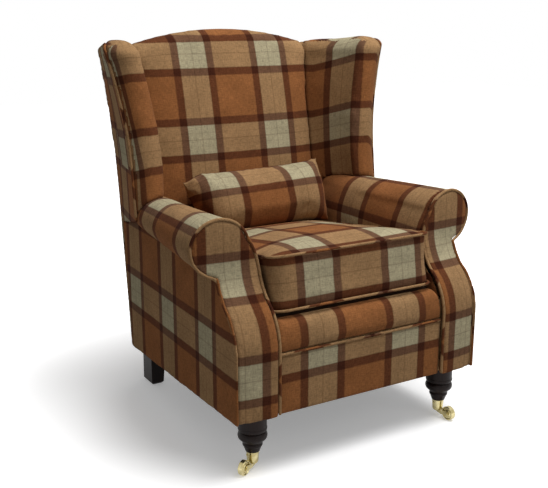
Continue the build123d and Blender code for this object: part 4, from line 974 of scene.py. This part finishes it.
class CHAIR_OT_facings(bpy.types.Operator):
    """Covers the S shaped arm fronts and pipes them"""

    bl_idname = "chair.facings"
    bl_label = "Facings"

    def execute(self, context):
        edge = np.array(facing_line(BASE))
        right = skin("facing_right", ["arm_facing_right"], voxel=0.0048, rounds=2, swell=0.0016)
        points = get_points(right)
        gaps = points[:, None, [0, 2]] - self.filled(edge)[None]
        inward = np.min(np.linalg.norm(gaps, axis=2), axis=1)
        # The face is padded: it rises inwards from the piping, with a slow unevenness.
        slow = waviness(points, size=0.09, seed=5)
        front = ramp(facing_y(points[:, 0], points[:, 2]) + 0.008 - points[:, 1], 0, 0.004)
        points[:, 1] -= front * (0.0035 * (1 - np.exp(-inward / 0.018)) + 0.0006 * slow)
        set_points(right, points)
        left = mirrored("facing_left", right)
        path = [(x, facing_y(x, z, -0.0005), max(z, BASE + 0.003)) for x, z in self.filled(edge, 0.006)]
        for facing, (side, name) in zip((right, left), SIDES):
            lay_cloth(facing, lambda p, side=side: self.chart(p, side))
            soften(facing)
            settle(facing, "chair", [f"arm_facing_{name}"])
            welt = piping(f"facing_piping_{name}", [(x * side, y, z) for x, y, z in path], seed=7 + side)
            settle(welt, "chair", shared(side, "facing_piping"))
        return {"FINISHED"}

    @staticmethod
    def chart(p, side):
        return p[:, 0] - FACING_COLUMN[side], up_the_front(p[:, 2]) - up_the_front(ROW_FACING)

    @staticmethod
    def filled(edge, step=0.004):
        """The outline with points at an even step."""
        path = np.column_stack((edge[:, 0], edge[:, 1], np.zeros(len(edge))))
        return resampled(path, step, False)[0][:, :2]


class CHAIR_OT_outsides(bpy.types.Operator):
    """Covers the outside arms, outside wings and outside back"""

    bl_idname = "chair.outsides"
    bl_label = "Outside panels"

    def execute(self, context):
        thin = {"voxel": 0.007, "stretch": (5, 1, 1), "rounds": 4}
        for side, name in SIDES:
            arm = skin(f"outside_arm_cloth_{name}", [f"outside_arm_{name}"], swell=0.0012, **thin)
            self.ease(arm, axis=0, seed=11 + side)
            # Its front edge runs on over the side of the facing, up to the piping.
            points = get_points(arm)
            front = facing_y(np.abs(points[:, 0]), points[:, 2])
            points[:, 1] -= FACING_WRAP * ramp(front + 0.046 - points[:, 1], 0, 0.018)
            set_points(arm, points)
            lay_cloth(arm, arm_side_chart)
            settle(arm, "chair", [f"outside_arm_{name}"])
            wing = skin(f"outside_wing_cloth_{name}", [f"outside_wing_{name}"], **thin)
            self.ease(wing, axis=0, seed=21 + side)
            lay_cloth(wing, wing_side_chart)
            settle(wing, "chair", [f"outside_wing_{name}"])
        thin = {"voxel": 0.007, "stretch": (1, 5, 1), "rounds": 8}
        back = skin("outside_back_cloth", ["outside_back"], swell=0.0018, **thin)
        self.ease(back, axis=1, seed=31)
        lay_cloth(back, front_chart(ROW_BACK, 1.01))
        settle(back, "chair", ["outside_back"])
        return {"FINISHED"}

    @staticmethod
    def ease(panel, axis, seed):
        """Cloth pulled over card: flat, with a slow unevenness."""
        points = get_points(panel)
        points[:, axis] += 0.0007 * waviness(points, size=0.22, seed=seed)
        set_points(panel, points)


class CHAIR_OT_border(bpy.types.Operator):
    """Covers the front border below the seat and the rolled edge above it"""

    bl_idname = "chair.border"
    bl_label = "Front border"

    def execute(self, context):
        panel = skin("border_panel_cloth", ["front_border_panel"], voxel=0.005, rounds=3, swell=0.0014)
        lay_cloth(panel, front_chart(ROW_BORDER, column=BORDER_COLUMN))
        settle(panel, "chair", ["front_border_panel"])
        roll = skin("border_roll_cloth", ["front_border_roll"], voxel=0.005, rounds=6)
        ends = np.abs(get_points(roll)[:, 0]) > 0.247
        puff(roll, context.scene.chair_padding.roll, self.free, pin=ends)
        # Its top is drawn up against the cushion.
        points = get_points(roll)
        between = ramp(0.252 - np.abs(points[:, 0]), 0, 0.012)
        points[:, 2] += 0.009 * ramp(points[:, 2], 0.335, 0.372) * between
        set_points(roll, points)
        lay_cloth(roll, self.roll_chart)
        soften(roll)
        settle(roll, "chair", ["front_border_roll"])
        half, y, z = 0.2525, FRONT + 0.0115, 0.3075
        path = [(-half, y, z), (0, y, z - 0.0008), (half, y, z)]
        welt = piping("border_welt", path, seed=17, radius=0.0040)
        settle(welt, "chair", ["border_piping"])
        return {"FINISHED"}

    @staticmethod
    def free(p):
        """The roll is held at its ends and along the seam below."""
        return ramp(0.246 - np.abs(p[:, 0]), 0, 0.02) * ramp(p[:, 2], 0.312, 0.33)

    @staticmethod
    def roll_chart(p):
        """Up the front of the roll and back over its top."""
        back = np.clip(p[:, 1] - (FRONT + 0.030), 0, None)
        return p[:, 0] - BORDER_COLUMN, p[:, 2] - ROW_ROLL + back * ramp(p[:, 2], 0.34, 0.37)


class CHAIR_OT_seat_cushion(bpy.types.Operator):
    """Makes the boxed seat cushion with its two rows of piping and its zip"""

    bl_idname = "chair.seat_cushion"
    bl_label = "Seat cushion"

    def execute(self, context):
        nodes = ["seat_cushion_cover", "seat_cushion_foam", "seat_cushion_zip"]
        pad = skin("seat_cushion", nodes, voxel=0.008, rounds=5)
        half, front, back, high = CUSHION
        local = local_to(CUSHION_PLACE)

        def free(p):
            # The sides are held by the arms; the front and the top are free.
            q = local(p)
            top = ramp(q[:, 2], high * 0.7, high + 0.01)
            nose = ramp(0.05 - q[:, 1], 0, 0.05)
            return np.maximum(top, nose) * ramp(0.25 - np.abs(q[:, 0]), 0.0, 0.02)

        q = local(get_points(pad))
        sewn = (np.abs(q[:, 2]) < 0.004) | (np.abs(q[:, 2] - high) < 0.004)
        rim = (np.abs(q[:, 0]) > half - 0.0064) | (q[:, 1] < front + 0.008) | (q[:, 1] > back - 0.008)
        puff(pad, context.scene.chair_padding.cushion, free, pin=sewn & rim)
        self.lay(pad, local, high)
        soften(pad)
        settle(pad, "seat_cushion", ["seat_cushion_cover", "seat_cushion_foam"])
        for level, name, seed in ((0, "low", 23), (high, "top", 36)):
            path = [tuple(CUSHION_PLACE @ Vector((x, y, level))) for x, y in self.ring(half, back)]
            welt = piping(f"cushion_piping_{name}", path, seed=seed, radius=0.0039, closed=True)
            settle(welt, "seat_cushion", ["seat_cushion_piping"] if name == "low" else [])
        self.zip_closure(back, high)
        return {"FINISHED"}

    @staticmethod
    def ring(half, back):
        """The line of the piping round the cushion, with its rounded corners."""
        corner, out = 0.038, 0.004
        right, near, far = half + out - corner, out + corner, back + out - corner
        points = []
        for x, y, start in ((right, far, 0), (-right, far, 90), (-right, near, 180), (right, near, 270)):
            turns = [math.radians(start + step) for step in range(0, 91, 9)]
            points += [(x + corner * math.cos(t), y + corner * math.sin(t)) for t in turns]
        return points

    @staticmethod
    def lay(pad, local, high):
        """Rows and columns on the top, carried down the boxing and round its ends."""
        turn = np.array(CUSHION_PLACE.inverted())[:3, :3]

        def pick(centres, normals):
            q, n = local(centres), normals @ turn.T
            flat = (q[:, 2] > high - 0.004) | (q[:, 2] < 0.004)
            lengthways = np.abs(n[:, 1]) >= np.abs(n[:, 0])
            return np.where(flat, 0, np.where(lengthways, 1, 2))

        def top(p):
            q = local(p)
            return q[:, 0] - CUSHION_COLUMN, q[:, 1] - SEAT_ROW

        def boxing(p):
            q = local(p)
            return q[:, 0] - CUSHION_COLUMN, q[:, 2] - high / 2

        def ends(p):
            q = local(p)
            return np.abs(q[:, 0]) + q[:, 1] - CUSHION_COLUMN, q[:, 2] - high / 2

        lay_cloth(pad, top, boxing, ends, pick=pick)

    @staticmethod
    def zip_closure(back, high):
        """A coil zip across the back of the boxing: two tapes, the coil and its slider."""
        y, z, half = back - 0.0035, high / 2, 0.158
        points, faces = [], []

        def bar(x0, x1, z0, z1, y0, y1):
            a = len(points)
            for x in (x0, x1):
                for yy, zz in ((y0, z0), (y1, z0), (y1, z1), (y0, z1)):
                    points.append(tuple(CUSHION_PLACE @ Vector((x, yy, zz))))
            faces.extend([(a, a + 3, a + 2, a + 1), (a + 4, a + 5, a + 6, a + 7)])
            faces.extend([(a + k, a + (k + 1) % 4, a + 4 + (k + 1) % 4, a + 4 + k) for k in range(4)])

        bar(-half, half, z - 0.0042, z - 0.0022, y, y + 0.0008)
        bar(-half, half, z + 0.0022, z + 0.0042, y, y + 0.0008)
        x = -half
        while x < half - 0.002:
            bar(x, x + 0.0012, z - 0.0024, z + 0.0008, y, y + 0.0016)
            bar(x + 0.0012, x + 0.0024, z - 0.0008, z + 0.0024, y, y + 0.0016)
            x += 0.0025
        bar(half - 0.012, half - 0.002, z - 0.0034, z + 0.0034, y + 0.0004, y + 0.0026)
        made = new_object("cushion_zip_coil", points, faces)
        made.data.materials.append(material("zip"))
        settle(made, "seat_cushion", ["seat_cushion_zip"])


class CHAIR_OT_lumbar_cushion(bpy.types.Operator):
    """Makes the loose lumbar cushion, seamed at its edges and drawn in at its corners"""

    bl_idname = "chair.lumbar_cushion"
    bl_label = "Lumbar cushion"

    def execute(self, context):
        pad, flat, seam = self.pillow(*LUMBAR)
        local = local_to(LUMBAR_PLACE)

        def free(p):
            # Only the face towards the sitter and the top fill out; it rests on its back and its foot.
            return ramp(local(p)[:, 2], -0.02, 0.02) * ramp(local(p)[:, 1], -0.09, -0.04)

        puff(pad, context.scene.chair_padding.lumbar, free, shrink=-0.03, pin=seam)
        # Small creases run in from the seams at its two ends.
        q = local(get_points(pad))
        near_end = np.exp(-((LUMBAR[0] - np.abs(q[:, 0])) / 0.05) ** 2)
        crease = near_end * np.sin(q[:, 1] / 0.0125 + 3 * q[:, 2] / 0.07)
        push(pad, crease * 0.0016 * ramp(np.abs(q[:, 2]), 0.004, 0.03))
        put_cloth(pad, flat[corners_of(pad)])
        soften(pad)
        settle(pad, "lumbar_cushion", ["lumbar_cover", "lumbar_filling"])
        return {"FINISHED"}

    @staticmethod
    def pillow(half_x, half_y, half_z):
        """A knife-edged pillow: two faces meeting in one seam, pointed corners, sides drawn in."""
        count_s, count_t = 72, 34
        s_line = np.sin(np.linspace(-math.pi / 2, math.pi / 2, count_s + 1) * 0.97)
        s_line /= math.sin(math.pi / 2 * 0.97)
        t_line = np.sin(np.linspace(-math.pi / 2, math.pi / 2, count_t + 1))
        grid_s, grid_t = np.meshgrid(s_line, t_line, indexing="ij")
        edge = (np.abs(grid_s) > 0.9999) | (np.abs(grid_t) > 0.9999)
        x = grid_s * (half_x + 0.001 - 0.013 * (1 - grid_t**4))
        y = grid_t * (half_y + 0.002 - 0.009 * (1 - np.abs(grid_s) ** 5))
        y -= 0.008 * ramp(-grid_t, 0.2, 1.0)
        # It has been leant on: the left end tucks in at the foot and its top corner has slumped.
        x += 0.040 * ramp(-grid_s, 0.45, 1.0) * ramp(-grid_t, -0.7, 1.0)
        y -= 0.024 * ramp(-grid_s, 0.72, 1.0) * ramp(grid_t, 0.1, 1.0)
        # Its foot is squashed broad by its own weight.
        crown, base = 2.6, 4.2
        foot = np.clip(1 - np.abs(grid_t) ** np.where(grid_t < 0, base, crown), 0, 1)
        z = half_z * np.sqrt(1 - np.abs(grid_s) ** 7) * np.sqrt(foot)
        z *= 1 - 0.35 * np.abs(grid_s) ** 12 * grid_t**2

        def run(power, share):
            """Length of cloth from the middle of the face to a share of the way to its edge."""
            fine = np.linspace(0, 1, 400)
            section = half_z * np.sqrt(np.clip(1 - fine**power, 0, 1))
            steps = np.hypot(np.diff(fine) * half_y, np.diff(section))
            return np.interp(share, fine, np.concatenate(([0], np.cumsum(steps))))

        cloth = np.where(grid_t < 0, -run(base, -grid_t), run(crown, grid_t))
        number = np.arange(grid_s.size).reshape(grid_s.shape)
        back = np.where(edge, number, number + grid_s.size)
        used, back = np.unique(np.concatenate((number.ravel(), back.ravel())), return_inverse=True)
        front, back = back.ravel()[: grid_s.size], back.ravel()[grid_s.size :]
        front, back = front.reshape(grid_s.shape), back.reshape(grid_s.shape)
        both = np.concatenate([np.stack((x, y, depth), 2).reshape(-1, 3) for depth in (z, -z)])
        place = np.array(LUMBAR_PLACE)
        points = both[used] @ place[:3, :3].T + place[:3, 3]
        flat = np.stack((x - LUMBAR_PLACING[0], cloth - LUMBAR_PLACING[1]), 2).reshape(-1, 2)
        flat = np.concatenate((flat, flat))[used]
        faces = []
        for i in range(count_s):
            for j in range(count_t):
                faces.append((front[i, j], front[i + 1, j], front[i + 1, j + 1], front[i, j + 1]))
                faces.append((back[i, j], back[i, j + 1], back[i + 1, j + 1], back[i + 1, j]))
        made = new_object("lumbar_cushion", points, faces, smooth=True)
        seam = np.zeros(len(points), bool)
        seam[front[edge]] = True
        return made, flat, seam


class CHAIR_OT_seat_deck(bpy.types.Operator):
    """Covers the sprung platform, its cloth, the webbing and the underside"""

    bl_idname = "chair.seat_deck"
    bl_label = "Platform, webbing and linings"

    def execute(self, context):
        deck = skin("platform_pad", ["seat_platform"], voxel=0.008, rounds=5)
        deck.data.materials.append(material("platform"))
        settle(deck, "chair", ["seat_platform"])
        cloth = skin("spring_cover", ["spring_cloth"], voxel=0.010, stretch=(1, 1, 12), rounds=3, swell=0)
        cloth.data.materials.append(material("lining"))
        settle(cloth, "chair", ["spring_cloth"])
        self.stretched(cloth, "seat_springs")
        under = skin("underside_cloth", ["dust_cover"], voxel=0.009, stretch=(1, 1, 12), rounds=3, swell=0)
        # It sags a little between the rails.
        points = get_points(under)
        sideways, lengthways = 0.28 - np.abs(points[:, 0]), 0.31 - np.abs(points[:, 1] + 0.03)
        inside = ramp(sideways, 0, 0.12) * ramp(lengthways, 0, 0.12)
        points[:, 2] -= inside * 0.004
        set_points(under, points)
        under.data.materials.append(material("lining"))
        settle(under, "chair", ["dust_cover"])
        self.stretched(under, "front_seat_rail")
        self.webs()
        return {"FINISHED"}

    @staticmethod
    def stretched(cloth, held_by):
        """Works out a cloth's size and its area; nothing is done with either."""
        low, high = get_points(cloth).min(0), get_points(cloth).max(0)
        size = high - low
        area = sum(p.area for p in cloth.data.polygons) / 2
        area = min(area, size[0] * size[1])

    @staticmethod
    def webs():
        """Five webs across the back, each a little slack."""
        points = get_points(NODES["back_webbing"])
        half, low = points[:, 0].max(), points[:, 2].min()
        rows, steps, high, thick = 5, 40, 0.0497, 0.0018
        pitch = (points[:, 2].max() - low - high) / (rows - 1)
        corners, quads = [], []
        for row in range(rows):
            base = low + row * pitch
            front = points[np.abs(points[:, 2] - base) < 0.006][:, 1].min()
            a = len(corners)
            for k in range(steps + 1):
                x = -half + 2 * half * k / steps
                sag = 0.0006 * math.sin(math.pi * k / steps)
                for up, y in ((0, front), (high, front + high * math.tan(RAKE))):
                    corners.append((x, y + sag, base + up))
                    corners.append((x, y + sag + thick, base + up))
            for k in range(steps):
                b, c = a + k * 4, a + k * 4 + 4
                quads += [(b, b + 2, c + 2, c), (b + 1, c + 1, c + 3, b + 3)]
                quads += [(b, c, c + 1, b + 1), (b + 2, b + 3, c + 3, c + 2)]
            end = a + steps * 4
            quads += [(a, a + 1, a + 3, a + 2), (end, end + 2, end + 3, end + 1)]
        made = new_object("back_webs", corners, quads)
        made.data.materials.append(material("webbing"))
        settle(made, "chair", ["back_webbing"])


class CHAIR_OT_hardware(bpy.types.Operator):
    """Gives legs, frame, castors, springs and fixings their real finishes"""

    bl_idname = "chair.hardware"
    bl_label = "Wood and metal"

    def execute(self, context):
        slots = {part["node"]: part["material_slot"] for part in frame["record"]["subparts"]}
        for node, obj in NODES.items():
            name = {"foam": "calico", "zip_nylon": "zip"}.get(slots[node], slots[node])
            for place in obj.material_slots:
                place.material = material(name)
        return {"FINISHED"}


CAMERA_PLACE = (-1.3093, -2.1320, 1.1077)
CAMERA_YAW, CAMERA_PITCH = math.radians(30.96), math.radians(14.44)


class CHAIR_OT_stage(bpy.types.Operator):
    """Sets the pale floor, the soft lights and the camera"""

    bl_idname = "chair.stage"
    bl_label = "Stage"

    def execute(self, context):
        look = context.scene.chair_stage
        self.lay_floor(look)
        self.light_room(context.scene, look)
        key = look.key_light
        self.lamp("key", place=(0.8, -0.8, 3.6), target=(0.0, -0.05, 0.5), size=2.0, power=key)
        self.lamp("fill", place=(1.1, -3.0, 1.6), target=(0.0, 0.0, 0.5), size=2.4, power=key * 0.10)
        self.set_camera(context.scene, look.lens)
        context.scene.view_settings.view_transform = "Standard"
        return {"FINISHED"}

    def lay_floor(self, look):
        floor = new_object("floor", [(-9, -9, 0), (9, -9, 0), (9, 9, 0), (-9, 9, 0)], [(0, 1, 2, 3)])
        painted, tree = new_material("Paper sweep, white matt")
        # White where it is seen, more so far off, so that the sweep has no horizon; the shadow stays.
        matt = add_node(tree, "ShaderNodeBsdfDiffuse", {"Color": tuple(look.floor)})
        place = add_node(tree, "ShaderNodeTexCoord").outputs["Object"]
        away = add_node(tree, "ShaderNodeVectorMath", {0: place}, operation="LENGTH")
        lift = spread(tree, away.outputs["Value"], (0.45, 1.15), (look.lift, 1.0))
        glow = add_node(tree, "ShaderNodeEmission", {"Color": (1, 1, 1), "Strength": lift})
        bright = add_node(tree, "ShaderNodeAddShader", {0: matt.outputs[0], 1: glow.outputs[0]})
        # A duller floor for the light that it sends back up, as in a large dark studio.
        dull = add_node(tree, "ShaderNodeBsdfDiffuse", {"Color": tuple(0.5 * c for c in look.floor)})
        inputs = {0: self.seen(tree), 1: dull.outputs[0], 2: bright.outputs[0]}
        put_out(tree, add_node(tree, "ShaderNodeMixShader", inputs))
        floor.data.materials.append(painted)

    def light_room(self, scene, look):
        """A dim studio that is seen as white paper."""
        scene.world = bpy.data.worlds.new("Studio")
        scene.world.use_nodes = True
        tree = scene.world.node_tree
        tree.nodes.clear()
        room = add_node(tree, "ShaderNodeBackground", {"Color": (1, 1, 1), "Strength": look.room_light})
        paper = add_node(tree, "ShaderNodeBackground", {"Color": (1, 1, 1), "Strength": 1.0})
        inputs = {0: self.seen(tree), 1: room.outputs[0], 2: paper.outputs[0]}
        both = add_node(tree, "ShaderNodeMixShader", inputs)
        add_node(tree, "ShaderNodeOutputWorld", {"Surface": both.outputs[0]})

    @staticmethod
    def set_camera(scene, lens):
        data = bpy.data.cameras.new("camera")
        data.lens = lens
        data.sensor_width = 36
        camera = bpy.data.objects.new("camera", data)
        scene.collection.objects.link(camera)
        camera.location = CAMERA_PLACE
        level = math.cos(CAMERA_PITCH)
        ahead = Vector((math.sin(CAMERA_YAW) * level, math.cos(CAMERA_YAW) * level, -math.sin(CAMERA_PITCH)))
        camera.rotation_euler = ahead.to_track_quat("-Z", "Y").to_euler()
        scene.camera = camera

    @staticmethod
    def seen(tree):
        """1 for what the camera, a reflection or clear glass sees, 0 for the light thrown on things."""
        rays = add_node(tree, "ShaderNodeLightPath").outputs
        most = calculate(tree, "MAXIMUM", rays["Is Camera Ray"], rays["Is Glossy Ray"])
        return calculate(tree, "MAXIMUM", most, rays["Is Transmission Ray"])

    @staticmethod
    def lamp(name, place, target, size, power):
        data = bpy.data.lights.new(name, "AREA")
        data.size = size
        data.energy = power
        lamp = bpy.data.objects.new(name, data)
        bpy.context.scene.collection.objects.link(lamp)
        lamp.location = place
        lamp.rotation_euler = (Vector(target) - Vector(place)).to_track_quat("-Z", "Y").to_euler()


PIECES = (
    CHAIR_OT_stage,
    CHAIR_OT_hardware,
    CHAIR_OT_inside_back,
    CHAIR_OT_wings,
    CHAIR_OT_arms,
    CHAIR_OT_facings,
    CHAIR_OT_outsides,
    CHAIR_OT_border,
    CHAIR_OT_seat_cushion,
    CHAIR_OT_lumbar_cushion,
    CHAIR_OT_seat_deck,
)


class CHAIR_PT_upholstery(bpy.types.Panel):
    """Wing chair pieces and settings"""

    bl_label = "Wing Chair"
    bl_idname = "CHAIR_PT_upholstery"
    bl_space_type = "VIEW_3D"
    bl_region_type = "UI"
    bl_category = "Wing Chair"

    def draw(self, context):
        layout = self.layout
        for name in ("chair_cloth", "chair_padding", "chair_stage"):
            settings = getattr(context.scene, name)
            box = layout.box()
            for key in type(settings).__annotations__:
                box.prop(settings, key)
        for piece in PIECES:
            layout.operator(piece.bl_idname)


SETTINGS = (
    ("chair_cloth", ChairClothSettings),
    ("chair_padding", ChairPaddingSettings),
    ("chair_stage", ChairStageSettings),
)


def register():
    for name, group in SETTINGS:
        bpy.utils.register_class(group)
        setattr(bpy.types.Scene, name, bpy.props.PointerProperty(type=group))
    for piece in (*PIECES, CHAIR_PT_upholstery):
        bpy.utils.register_class(piece)


def unregister():
    for piece in (CHAIR_PT_upholstery, *reversed(PIECES)):
        bpy.utils.unregister_class(piece)
    for name, group in reversed(SETTINGS):
        delattr(bpy.types.Scene, name)
        bpy.utils.unregister_class(group)


def main():
    """Builds the stage and every piece in order."""
    register()
    for piece in PIECES:
        group, name = piece.bl_idname.split(".")
        getattr(getattr(bpy.ops, group), name)()


if __name__ == "__main__":
    main()
